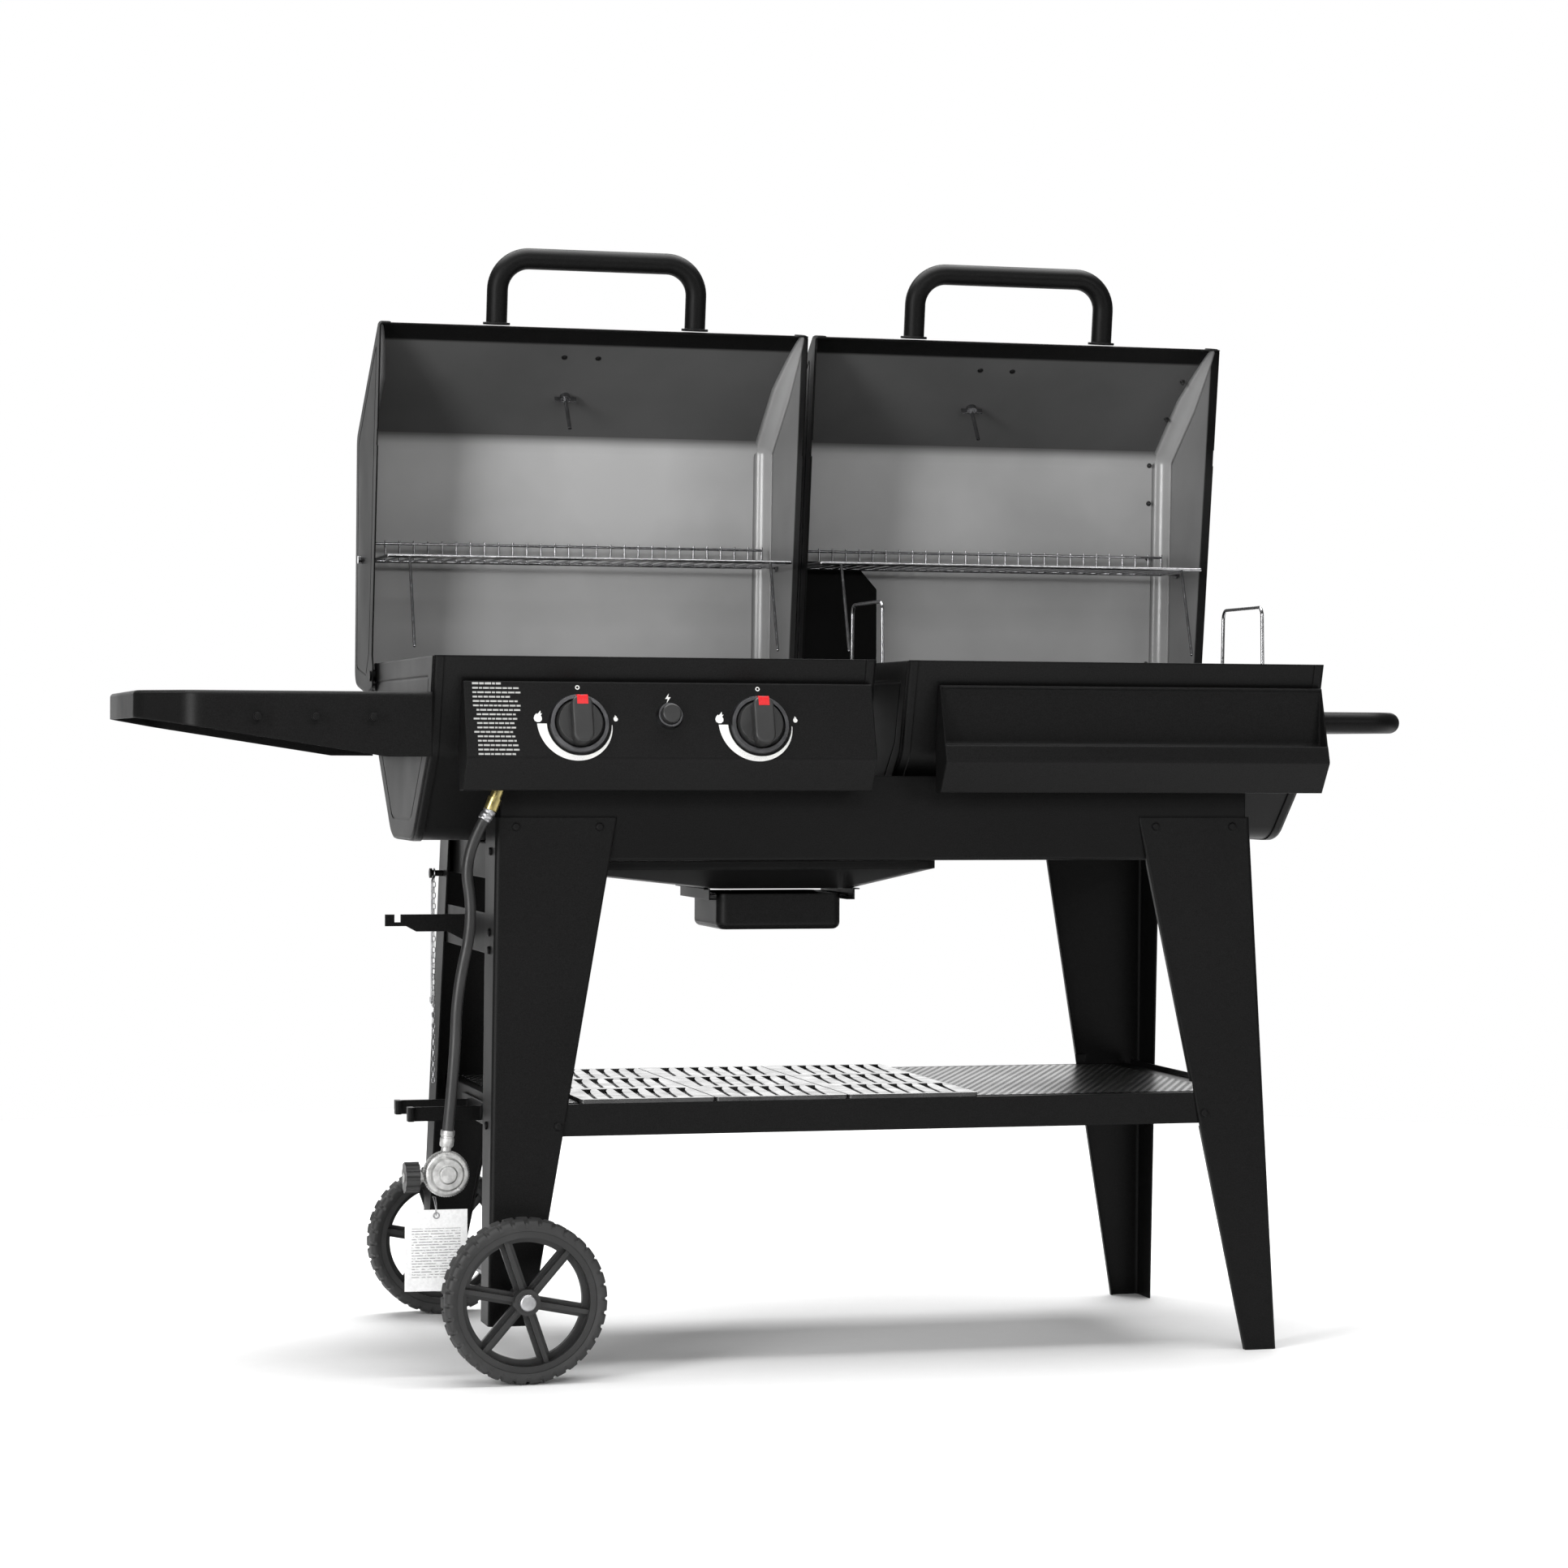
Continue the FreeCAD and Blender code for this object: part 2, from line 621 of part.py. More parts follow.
def makeDrawer():
    """Ash drawer: a fascia with a full-width pull ledge, and the tray behind it."""
    path = [(wallY(panelTop) - gap, panelTop), (panelFaceY, panelTop, 3), (panelFaceY, 846, 0)]
    lip = prismX(strip(path, sheet), drawerLeft, drawerRight)
    path = [(-241, panelTop - 1), (-241, 773, 3), (-266, 773, 2), (panelBendY, 754, 6),
            (panelFaceY - 2, panelLow, 3), (-228, panelLow)]
    front = prismX(strip(path, -sheet), drawerLeft, drawerRight)
    lean = (panelBendY - panelFaceY) / (panelTop - panelBend)
    sides = []
    outline = [(-236.5, panelTop - 1), (panelFaceY, panelTop - 1), (panelBendY, panelBend),
               (panelFaceY - 2, panelLow), (-228, panelLow), (-226 + lean, 768)]
    for x in (drawerLeft, drawerRight - sheet):
        sides.append(prismX(outline, x, x + sheet))
    nodes["ash_drawer_fascia"] = fuse([front, lip] + sides)
    x0, x1 = drawerLeft + 24, drawerRight - 24
    front, back, top = -239, 150, drawerLow + 24
    tray = box((x0, front, drawerLow), (x1, back, top))
    inner = box((x0 + sheet, front + sheet, drawerLow + sheet), (x1 - sheet, back - sheet, top + 1))
    nodes["ash_drawer_tray"] = tray.cut(inner)


def makeCharcoalTray():
    """Perforated tray with wire lift handles; returns the ledges that it rests on."""
    x0, x1, y0, y1 = 42, 558, -150, 142
    low, high = 786, 826
    outer = prismZ([(x0, y0, 10), (x1, y0, 10), (x1, y1, 10), (x0, y1, 10)], low, high)
    inner = prismZ([(x0 + sheet, y0 + sheet, 8.5), (x1 - sheet, y0 + sheet, 8.5),
                    (x1 - sheet, y1 - sheet, 8.5), (x0 + sheet, y1 - sheet, 8.5)],
                   low + sheet, high + 1)
    tray = outer.cut(inner)
    slots = []
    for i in range(12):
        for y in (-130, -40, 50):
            x = x0 + 24 + i * 40
            slots.append(box((x, y, low - 6), (x + 6, y + 72, low + 4)))
    nodes["charcoal_tray"] = tray.cut(Part.makeCompound(slots))
    handles = []
    for x in (36, 564):
        wire = [(x, -76, 800), (x, -70, 961, 12), (x, 70, 961, 12), (x, 76, 800)]
        loop = tube(wire, 2.3)
        inward = 1 if x < 300 else -1
        stubs = [rod((x, y, 801), (x + inward * 6, y, 801), 2.3) for y in (-76, 76)]
        handles.append(fuse([loop] + stubs))
    nodes["charcoal_tray_handles"] = Part.makeCompound(handles)
    return [box((100, front, 780), (500, back, 782)) for front, back in ((-214, y0), (y1, 206))]


# Lids, drawn closed and then turned open

lidPath = [(-251, rimZ), (-251, 881, 4), (-88, 1047, 26), (250, 1011, 24), (250, 888)]


def lidEnds(leftX, rightX):
    """Two stamped end caps with an ear round the hinge bolt and a hole for the rack's pin."""
    profile = [(-251, rimZ, 4), (-251, 881, 6), (-88, 1047, 26), (250, 1011, 24),
               (250, 888, 6), (234, 846, 10), (204, 846, 6), (190, rimZ, 6)]
    flanged = offsetPath(lidPath, -sheet)
    inside = [(flanged[0][0], rimZ - 30, 0)] + flanged[1:-1] + [
        (flanged[-1][0], 882), (232, 882), (232, 866), (196, 866), (196, rimZ - 30)]
    groove = [(-222, 884, 4), (-80, 1023, 14), (224, 991, 12), (224, 905, 4), (190, 884, 4)]
    ear = [(150, 820), (262, 820), (262, 884), (150, 884)]
    caps = []
    for x, side in ((leftX, -1), (rightX, 1)):
        cap = endCap(profile, inside, groove[::-1], x, side, lidDeepX,
                     lambda e: e.CenterOfMass.z < rimZ + 30)
        low, high = sorted((x - side * sheet, x - side * (lidDeepX + 2)))
        cap = cap.cut(prismX(ear, low, high))
        hinge = rod((x - 20, hingeY, hingeZ), (x + 20, hingeY, hingeZ), boltRadius + fit)
        pin = rod((x - 20, rackPinY, rackPinZ), (x + 20, rackPinY, rackPinZ), 3 + fit)
        notch = box((x - 20, -110, rimZ - 1), (x + 20, -88, rimZ + 7))
        caps.append(cap.cut(hinge).cut(pin).cut(notch))
    return Part.makeCompound([turnLid(cap) for cap in caps])


def closedPoint(y, z):
    """Where a point seen on the open lid lies when the lid is closed."""
    turn = math.radians(openAngle)
    dy, dz = y - hingeY, z - hingeZ
    return (hingeY + dy * math.cos(turn) - dz * math.sin(turn),
            hingeZ + dy * math.sin(turn) + dz * math.cos(turn))


rackOpenY, rackOpenZ = 306, 1022
rackPinY, rackPinZ = closedPoint(rackOpenY, rackOpenZ)


def lidShell(leftX, rightX):
    """Wrapped sheet of a lid, inside the end caps' flanges."""
    path = offsetPath(lidPath, -sheet)
    low, high = leftX + sheet, rightX - sheet
    shell = prismX(strip(path, -sheet), low, high)
    return turnLid(shell)


def lidHandle(midX):
    """Bent tube handle standing on the lid's leaning front panel by two feet."""
    span, radius = 135, 42
    normal = V(0, -1, 0)
    low, z = -252, 868
    far = low - 101 + tubeRadius
    path = [(midX - span, low + 1, z), (midX - span, far, z, radius),
            (midX + span, far, z, radius), (midX + span, low + 1, z)]
    handle = tube(path, tubeRadius, tubeRadius - 2)
    feet = []
    for x in (midX - span, midX + span):
        foot = V(x, low + 1, z)
        feet.append(Part.makeCylinder(18, 3, foot, normal))
        feet.append(Part.makeCylinder(tubeRadius - 1, 4, foot, normal))
    return turnLid(fuse([handle] + feet))


lidFrontLow, lidFrontHigh = V(0, -251, 881), V(0, -88, 1047)
lidLean = math.atan2(lidFrontHigh.z - lidFrontLow.z, lidFrontHigh.y - lidFrontLow.y)
lidFrontNormal = V(0, -math.sin(lidLean), math.cos(lidLean))


def onLidFront(x, share):
    """A point on the closed lid's leaning front panel, by its share of the way up."""
    return V(x, 0, 0) + lidFrontLow + (lidFrontHigh - lidFrontLow) * share


thermometerShare = 0.577


def thermometer(x):
    """Stem with a wing nut inside the lid and a round dial outside on the front panel."""
    normal = lidFrontNormal
    centre = onLidFront(x, thermometerShare)
    stem = rod(centre - normal * 62, centre + normal * 2, 2.6)
    dial = rod(centre + normal * 0.2, centre + normal * 12, 30)
    rim = centre + normal * 12
    dial = fillet(dial, 3, lambda e: (e.CenterOfMass - rim).Length < 1e-3)
    nut = rod(centre - normal * 10, centre - normal * 3.2, 7)
    wings = box((-15, -1, -14), (15, 1, -6))
    wings.rotate(V(0, 0, 0), axisX, math.degrees(lidLean))
    wings.translate(centre)
    return turnLid(fuse([stem, dial, nut, wings]))


def thermometerHole(x, size):
    centre = onLidFront(x, thermometerShare)
    return turnLid(rod(centre - lidFrontNormal * 5, centre + lidFrontNormal * 5, size))


def makeLids():
    bolts = []
    for name, leftX, rightX in (("left", -lidOuterX, -lidInnerX), ("right", lidInnerX, lidOuterX)):
        midX = (leftX + rightX) / 2
        stemX = midX + stemOffsets[name]
        shell = lidShell(leftX, rightX).cut(thermometerHole(stemX, 2.6))
        nodes["lid_" + name + "_shell"] = shell
        nodes["lid_" + name + "_ends"] = lidEnds(leftX, rightX)
        nodes["lid_handle_" + name] = lidHandle(midX + handleOffsets[name])
        nodes["thermometer_" + name] = thermometer(stemX)
    for boxX, lidX, side in ((-boxOuterX, -lidOuterX, -1), (-boxInnerX, -lidInnerX, 1),
                             (boxInnerX, lidInnerX, -1), (boxOuterX, lidOuterX, 1)):
        start = boxX - side * 7
        shank = rod((start, hingeY, hingeZ), (lidX + side * 1, hingeY, hingeZ), boltRadius)
        spacer = rod((boxX + side * 0.05, hingeY, hingeZ),
                     (lidX - side * (sheet + 0.3), hingeY, hingeZ), 9)
        nut = rod((boxX - side * 6.5, hingeY, hingeZ), (boxX - side * 1.6, hingeY, hingeZ), 7)
        head = rod((lidX + side * 0.3, hingeY, hingeZ), (lidX + side * 2.2, hingeY, hingeZ), 7)
        bolts.append(fuse([shank, spacer, nut, head]))
    nodes["hinge_bolts"] = Part.makeCompound(bolts)


def openPoint(y, z):
    """Where a point of the closed lid lies when the lid is open."""
    turn = math.radians(openAngle)
    dy, dz = y - hingeY, z - hingeZ
    return (hingeY + dy * math.cos(turn) + dz * math.sin(turn),
            hingeZ - dy * math.sin(turn) + dz * math.cos(turn))


def backWallY(z):
    """Inner face of the open lid's back wall at a height."""
    top, low = openPoint(*lidPath[2][:2]), openPoint(*lidPath[3][:2])
    share = (z - top[1]) / (low[1] - top[1])
    return top[0] + (low[0] - top[0]) * share - 2 * sheet - 0.6


def makeBaffle():
    """Vent baffle on the right lid's back wall: a plate with a folded side, on standoffs."""
    low, high, y = 24, 150, hingeY + 130.5
    outline = [(low, 10), (low, 152, 4), (low + 18, 170, 6), (high - 34, 170, 6), (high, 132, 4),
               (high, 10)]
    sheetBody = face(outline, lambda u, v: V(u, y, hingeZ + v)).extrude(V(0, sheet, 0))
    side = box((high - sheet, y, hingeZ + 12), (high, y + 9, hingeZ + 128))
    posts = [rod((x, y + 1, hingeZ + z), (x, backWallY(hingeZ + z), hingeZ + z), 4)
             for x, z in ((60, 60), (110, 60), (85, 140))]
    nodes["vent_baffle"] = fuse([sheetBody, side] + posts)


def makeRack(leftX, rightX):
    """Warming rack of wire: frame, cross wires turned up into a rear fence, side legs, pins."""
    x0, x1 = leftX + 17, rightX - 17
    front, back, z = 178, 334, rackOpenZ
    wire, thin = 2.4, 1.4
    frame = [rod((x0, front, z), (x1, front, z), wire), rod((x0, back, z), (x1, back, z), wire),
             rod((x0, front, z), (x0, back, z), wire), rod((x1, front, z), (x1, back, z), wire)]
    frame += [Part.makeSphere(wire, V(x, y, z)) for x in (x0, x1) for y in (front, back)]
    fence = [rod((x0, back, z + 24), (x1, back, z + 24), 1.8)]
    count = 28
    stubs = []
    for i in range(count + 1):
        x = x0 + (x1 - x0) * i / count
        stubs.append(rod((x, back, z), (x, back, z + 28), thin))
        if 0 < i < count:
            stubs.append(rod((x, front, z), (x, back, z), thin))
    legs = []
    for x in (x0 + 28, x1 - 28):
        legs.append(rod((x, front, z), (x, front - 42, z - 120), 2))
        legs.append(rod((x, front, z), (x, front + 36, z), 2))
        legs.append(Part.makeSphere(2, V(x, front - 42, z - 120)))
    pins = [rod((leftX - 3, rackOpenY, z), (x0, rackOpenY, z), 3),
            rod((x1, rackOpenY, z), (rightX + 3, rackOpenY, z), 3),
            rod((leftX - 5, rackOpenY, z), (leftX - 0.4, rackOpenY, z), 5.5),
            rod((rightX + 0.4, rackOpenY, z), (rightX + 5, rackOpenY, z), 5.5)]
    washers = [rod((leftX + 3, rackOpenY, z), (leftX + 6, rackOpenY, z), 7),
               rod((rightX - 6, rackOpenY, z), (rightX - 3, rackOpenY, z), 7)]
    return fuse(frame + fence + stubs + legs + pins + washers)


# Sides

def makeSideShelf():
    """Side shelf: a skirted tray with large outer corners, its skirt shallower at the far end."""
    far, near, top, low = -936, -boxOuterX - gap, 836, 757
    front, back, chamfer = -244, 236, 62
    plan = [(near, front), (near, back), (far + chamfer, back, 40), (far, back - chamfer, 40),
            (far, front + chamfer, 40), (far + chamfer, front, 40)]
    inner = [(near + 1, front + sheet), (near + 1, back - sheet),
             (far + chamfer, back - sheet, 39), (far + sheet, back - chamfer, 39),
             (far + sheet, front + chamfer, 39), (far + chamfer, front + sheet, 39)]
    tray = prismZ(plan, low, top)
    tray = fillet(tray, 5, lambda e: e.BoundBox.ZLength < 1e-3 and e.CenterOfMass.z > top - 1
                  and e.CenterOfMass.x < near - 1)
    tray = tray.cut(prismZ(inner, low - 1, top - 2.5))
    taper = [(far - 1, low - 1), (near - 56, low - 1), (near - 56, low), (far - 1, top - 33)]
    tray = tray.cut(prismY(taper, front - 1, back + 1))
    mount = box((near - sheet, front + 30, low + 6), (near, back - 30, top - 2))
    nodes["side_shelf"] = fuse([tray, mount])
    pegs = []
    for x in (-795, -725, -655):
        shank = rod((x, front, 805), (x, front - 12, 805), 2.5)
        head = rod((x, front - 12, 805), (x, front - 15, 805), 4.5)
        washer = rod((x, front, 805), (x, front - 2, 805), 5)
        pegs.append(fuse([shank, head, washer]))
    nodes["tool_pegs"] = Part.makeCompound(pegs)


def makePushHandle():
    """Bent tube handle on the charcoal firebox's end, on two mounting flanges."""
    x0, x1, y, z, bend = boxOuterX, 752 - tubeRadius, 128, 807, 46
    path = [(x0, -y, z), (x1, -y, z, bend), (x1, y, z, bend), (x0, y, z)]
    pipe = tube(path, tubeRadius, tubeRadius - 2)
    flanges = [rod((x0, side * y, z), (x0 + 3, side * y, z), 24) for side in (-1, 1)]
    nodes["push_handle"] = fuse([pipe] + flanges)


def makeTankBrackets():
    """Bar and arm that hold the gas tank's collar, and the fork at the shelf for its foot."""
    x = -(legTopX + splayX * (legTop - 562)) + plate + 0.3
    bar = box((x, -180, 512), (x + plate, 180, 562))
    arm = box((-602, -2, 533), (x + 1, 1, 555))
    arm = arm.cut(box((-590, -3, 545), (-582, 2, 556)))
    tip = prismY([(-603, 540), (-603, 532), (-560, 532), (-575, 540)], -4, 3)
    gusset = prismY([(x, 520), (x, 545), (-545, 545)], -2, 1)
    nodes["tank_crossbar"] = fuse([bar, arm.cut(tip), gusset])
    backPlate = box((-488, -95, 292), (-485.6, 75, 320))
    prongs = []
    for y in (-60, 40):
        prong = prismZ([(-487, y - 2), (-487, y + 2), (-580, y + 2, 1), (-580, y - 2, 1)], 296, 314)
        tab = box((-582, y - 9, 296), (-574, y + 9, 314))
        prongs += [prong, fillet(tab, 3, lambda e: e.BoundBox.ZLength > 17)]
    nodes["tank_fork"] = fuse([backPlate] + prongs)


rodHangX, rodHangY, rodHangZ = -510, 172, 602


def makeLightingRod():
    """Lighting rod and its chain, hanging from one bolt on the rear left leg."""
    x, y, z = rodHangX, rodHangY, rodHangZ
    eye = ring((x - 1.5, y, z), (x + 1.5, y, z), 7, 4.3)
    chain = rod((x, y, z - 6), (x, y, 318), 2.2)
    hook = rod((x - 1, y - 4.5, z - 4), (x - 4, y - 9, z - 12), 1.5)
    stick = rod((x - 4, y - 9, z - 11), (x - 4, y - 9, 428), 1.5)
    nodes["lighting_rod"] = fuse([eye, chain, hook, stick])


def makeScrews():
    """Visible screw heads of the cart, and the bolt that the lighting rod hangs on."""
    heads = []
    for side in (-1, 1):
        for x, z in ((471, 671), (366, 671), (423, 303)):
            y = legTopY + splayY * (legTop - z)
            for mirror in (-1, 1):
                heads.append(screwHead((side * x, mirror * (y + 0.1), z),
                                       (0, mirror, splayY)))
    for z in (640, 540, 518, 303):
        x = -(legTopX + splayX * (legTop - z)) - 0.1
        y = legTopY + splayY * (legTop - z) - 32
        heads.append(screwHead((x, -y, z), (-1, 0, splayX)))
    x, y, z = rodHangX, rodHangY, rodHangZ
    flangeX = -(legTopX + splayX * (legTop - z))
    heads.append(fuse([rod((flangeX - 0.1, y, z), (x - 3, y, z), 4),
                       rod((x - 3, y, z), (x - 6, y, z), 6.5)]))
    nodes["frame_screws"] = Part.makeCompound(heads)


# Gas supply

def makeHose():
    """Fitting, hose, regulator, tank coupling and tag, each meeting the next face to face."""
    points = [V(*p) for p in hoseRoute]
    bends = []
    for i in range(1, len(points) - 1):
        before, after = points[i] - points[i - 1], points[i + 1] - points[i]
        half = before.getAngle(after) / 2
        bends.append(0.45 * min(before.Length, after.Length) / math.tan(half))
    path = [hoseRoute[0]]
    path += [tuple(p) + (r,) for p, r in zip(hoseRoute[1:-1], bends)]
    path.append(hoseRoute[-1])
    print("hose bend radii", [round(r) for r in bends])
    hose = tube(path, hoseRadius)
    length = runs(path).Length
    print("hose length", round(length, 1), "volume ratio",
          round(hose.Volume / (math.pi * hoseRadius ** 2 * length), 4))
    nodes["gas_hose"] = hose
    up = (points[0] - points[1]).normalize()
    start = points[0]
    ferrule = Part.makeCylinder(8.5, 16, start, up)
    hexagon = Part.makeCylinder(7, 22, start + up * 16, up)
    top = start + up * 38
    elbow = tube([tuple(top - up * 2), (top.x + 7, top.y, manifoldZ, 9),
                  (manifoldX, manifoldY, manifoldZ)], 6)
    nodes["gas_inlet_fitting"] = fuse([ferrule, hexagon, elbow])
    down = (points[-1] - points[-2]).normalize()
    end = points[-1]
    centre = V(-560, -222, 247)
    collar = Part.makeCylinder(8.5, 20, end, down)
    neck = rod(tuple(end + down * 18), tuple(centre + V(0, 0, 10)), 6)
    disc = rod((centre.x, centre.y - 10, centre.z), (centre.x, centre.y + 10, centre.z), 28.5)
    disc = fillet(disc, 3, lambda e: abs(e.BoundBox.YLength) < 1e-3)
    cap = rod((centre.x, centre.y - 18, centre.z), (centre.x, centre.y - 9, centre.z), 10)
    cap = fillet(cap, 2, lambda e: abs(e.CenterOfMass.y - centre.y + 18) < 1e-3)
    shoulder = rod((centre.x, centre.y - 14, centre.z), (centre.x, centre.y - 9, centre.z), 19)
    outlet = rod((centre.x - 20, centre.y + 4, centre.z - 4),
                 (centre.x - 52, centre.y + 4, centre.z - 4), 6)
    flange = rod((centre.x - 31, centre.y + 4, centre.z - 4),
                 (centre.x - 33, centre.y + 4, centre.z - 4), 9)
    nodes["regulator"] = fuse([collar, neck, disc, cap, shoulder, outlet, flange])
    a, b = centre.x - 33.5, centre.x - 51
    wheel = rod((a, centre.y + 4, centre.z - 4), (b, centre.y + 4, centre.z - 4), 19)
    flutes = []
    for i in range(10):
        angle = math.radians(36 * i)
        y = centre.y + 4 + 20.5 * math.cos(angle)
        z = centre.z - 4 + 20.5 * math.sin(angle)
        flutes.append(rod((a + 1, y, z), (b - 1, y, z), 3.5))
    bore = rod((a + 1, centre.y + 4, centre.z - 4), (b - 1, centre.y + 4, centre.z - 4), 6 + fit)
    nodes["coupling_nut"] = wheel.cut(Part.makeCompound(flutes)).cut(bore)
    tag = prismY([(-613, 106, 3), (-536, 106, 3), (-536, 205, 3), (-613, 205, 3)], -236.3, -235.7)
    tag = tag.cut(rod((-575, -240, 198), (-575, -230, 198), 3))
    loop = tube([(-575, -236, 194), (-575, -236, 212, 6), (-577, -221.9, 224)], 0.8)
    nodes["paper_tag"] = fuse([tag, box((-577, -236.3, 192), (-573, -235.7, 196)), loop])


def build():
    makeLegs()
    makeAprons()
    makeShelf()
    makeGrates()
    makeAxle()
    makeWheels()
    makeFireboxes()
    makePanel()
    makeKnobs()
    makeGasParts()
    makeGreaseParts()
    makeDrawer()
    ledges = makeCharcoalTray()
    nodes["charcoal_firebox_shell"] = fuse([nodes["charcoal_firebox_shell"]] + ledges)
    makeLids()
    makeBaffle()
    nodes["warming_rack_left"] = makeRack(-lidOuterX, -lidInnerX)
    nodes["warming_rack_right"] = makeRack(lidInnerX, lidOuterX)
    makeSideShelf()
    makePushHandle()
    makeTankBrackets()
    makeLightingRod()
    makeScrews()
    makeHose()


hangingNodes = ("gas_hose", "regulator", "coupling_nut", "paper_tag", "gas_inlet_fitting")


def export():
    """Move everything so that the box's bottom centre is the origin, then write the files."""
    fixed = Part.makeCompound([s for n, s in nodes.items() if n not in hangingNodes])
    bounds = fixed.optimalBoundingBox(False)
    shift = V(-bounds.Center.x, -bounds.Center.y, -bounds.ZMin)
    print("moved by", [round(c, 4) for c in shift])
    print("size", [round(c, 2) for c in (bounds.XLength, bounds.YLength, bounds.ZLength)])
    os.makedirs("parts", exist_ok=True)
    for name, shape in nodes.items():
        shape.translate(shift)
        if not shape.isValid():
            print("not valid:", name)
        shape.exportStep("parts/" + name + ".step")
    print(len(nodes), "nodes")


build()
export()
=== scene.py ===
import math
import bmesh
import bpy
import numpy as np
from mathutils import Matrix, Vector


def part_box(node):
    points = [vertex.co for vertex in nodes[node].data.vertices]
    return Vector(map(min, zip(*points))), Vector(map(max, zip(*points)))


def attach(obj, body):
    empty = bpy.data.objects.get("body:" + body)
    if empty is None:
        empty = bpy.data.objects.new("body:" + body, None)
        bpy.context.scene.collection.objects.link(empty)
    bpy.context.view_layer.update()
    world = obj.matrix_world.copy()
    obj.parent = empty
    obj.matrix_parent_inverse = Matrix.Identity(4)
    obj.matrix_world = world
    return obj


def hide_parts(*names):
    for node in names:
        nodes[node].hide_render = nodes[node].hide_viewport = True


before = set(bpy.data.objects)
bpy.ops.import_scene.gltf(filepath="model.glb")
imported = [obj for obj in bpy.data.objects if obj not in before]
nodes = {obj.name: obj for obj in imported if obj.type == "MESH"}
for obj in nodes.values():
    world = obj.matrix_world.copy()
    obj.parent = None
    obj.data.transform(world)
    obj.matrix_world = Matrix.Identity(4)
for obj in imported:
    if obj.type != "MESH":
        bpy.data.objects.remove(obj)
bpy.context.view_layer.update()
scene = bpy.context.scene
mm = 0.001


# Camera and stage

cameraPlace = {"x": -1.26336, "y": -4.86331, "z": 0.765889, "yaw": 14.798, "pitch": -0.556,
               "roll": 0.27, "lens": 87.75, "shiftY": 0.00265}


def makeCamera(place):
    # View direction from yaw and pitch, right and up turned about it by roll.
    yaw, pitch, roll = (math.radians(place[key]) for key in ("yaw", "pitch", "roll"))
    forward = Vector((math.sin(yaw) * math.cos(pitch), math.cos(yaw) * math.cos(pitch),
                      math.sin(pitch)))
    right = Vector((math.cos(yaw), -math.sin(yaw), 0))
    up = right.cross(forward)
    side = right * math.cos(roll) + up * math.sin(roll)
    top = up * math.cos(roll) - right * math.sin(roll)
    data = bpy.data.cameras.new("camera")
    data.lens = place["lens"]
    data.sensor_width = 36
    data.shift_y = place["shiftY"]
    data.clip_end = 60
    camera = bpy.data.objects.new("camera", data)
    scene.collection.objects.link(camera)
    turn = Matrix((side, top, -forward)).transposed()
    camera.matrix_world = Matrix.Translation((place["x"], place["y"], place["z"])) @ turn.to_4x4()
    scene.camera = camera


makeCamera(cameraPlace)
print("camera made")


# Shared material tools

def newMaterial(name):
    material = bpy.data.materials.new(name)
    material.use_nodes = True
    shader = material.node_tree.nodes["Principled BSDF"]
    return material, shader


def addNode(material, kind, inputs=None, **settings):
    node = material.node_tree.nodes.new(kind)
    for key, value in settings.items():
        setattr(node, key, value)
    for key, value in (inputs or {}).items():
        if isinstance(value, bpy.types.NodeSocket):
            material.node_tree.links.new(value, node.inputs[key])
        else:
            node.inputs[key].default_value = value
    return node


def objectPoint(material):
    return addNode(material, "ShaderNodeTexCoord").outputs["Object"]


def noise(material, scale, detail=2.0, rough=0.5, point=None):
    point = point or objectPoint(material)
    node = addNode(material, "ShaderNodeTexNoise",
                   {"Vector": point, "Scale": scale, "Detail": detail, "Roughness": rough})
    return node.outputs["Fac"]


def spread(material, value, low, high, toLow, toHigh):
    # Linear map of a value from one range to another, held at its ends.
    node = addNode(material, "ShaderNodeMapRange",
                   {"Value": value, "From Min": low, "From Max": high, "To Min": toLow,
                    "To Max": toHigh})
    return node.outputs["Result"]


def mixColours(material, factor, first, second):
    node = addNode(material, "ShaderNodeMix", data_type="RGBA")
    sockets = [s for s in node.inputs if s.enabled]
    for socket, value in zip(sockets, (factor, first, second)):
        if isinstance(value, bpy.types.NodeSocket):
            material.node_tree.links.new(value, socket)
        else:
            socket.default_value = value
    return [s for s in node.outputs if s.enabled][0]


def grey(level):
    return (level, level, level, 1)


def bump(material, height, strength, distance, after=None):
    inputs = {"Height": height, "Strength": strength, "Distance": distance}
    if after:
        inputs["Normal"] = after
    return addNode(material, "ShaderNodeBump", inputs).outputs["Normal"]


def connect(material, output, shader, socket):
    material.node_tree.links.new(output, shader.inputs[socket])


# Finishes

paintLook = {"dark": 0.0012, "light": 0.0065, "roughLow": 0.38, "roughHigh": 0.48,
             "speckleScale": 700, "edgeRound": 0.0030, "specular": 0.16, "paintedLightLow": 0.36,
             "paintedLightHigh": 0.50, "pebbles": 0.22}
# Bounds of the lids' painted light: it stops above the hem and near the end walls' rims, and
# endShare of it reaches the end walls.
hemLook = {"bareLow": 1.308, "bareHigh": 1.311, "rimLowZ": 0.831, "rimLowY": 0.1951,
           "rimHighZ": 1.3275, "rimHighY": 0.1253, "edgeLow": 0.030, "edgeHigh": 0.036,
           "endShare": 0.55}


def roundedEdges(material, radius):
    node = addNode(material, "ShaderNodeBevel", {"Radius": radius}, samples=4)
    return node.outputs["Normal"]


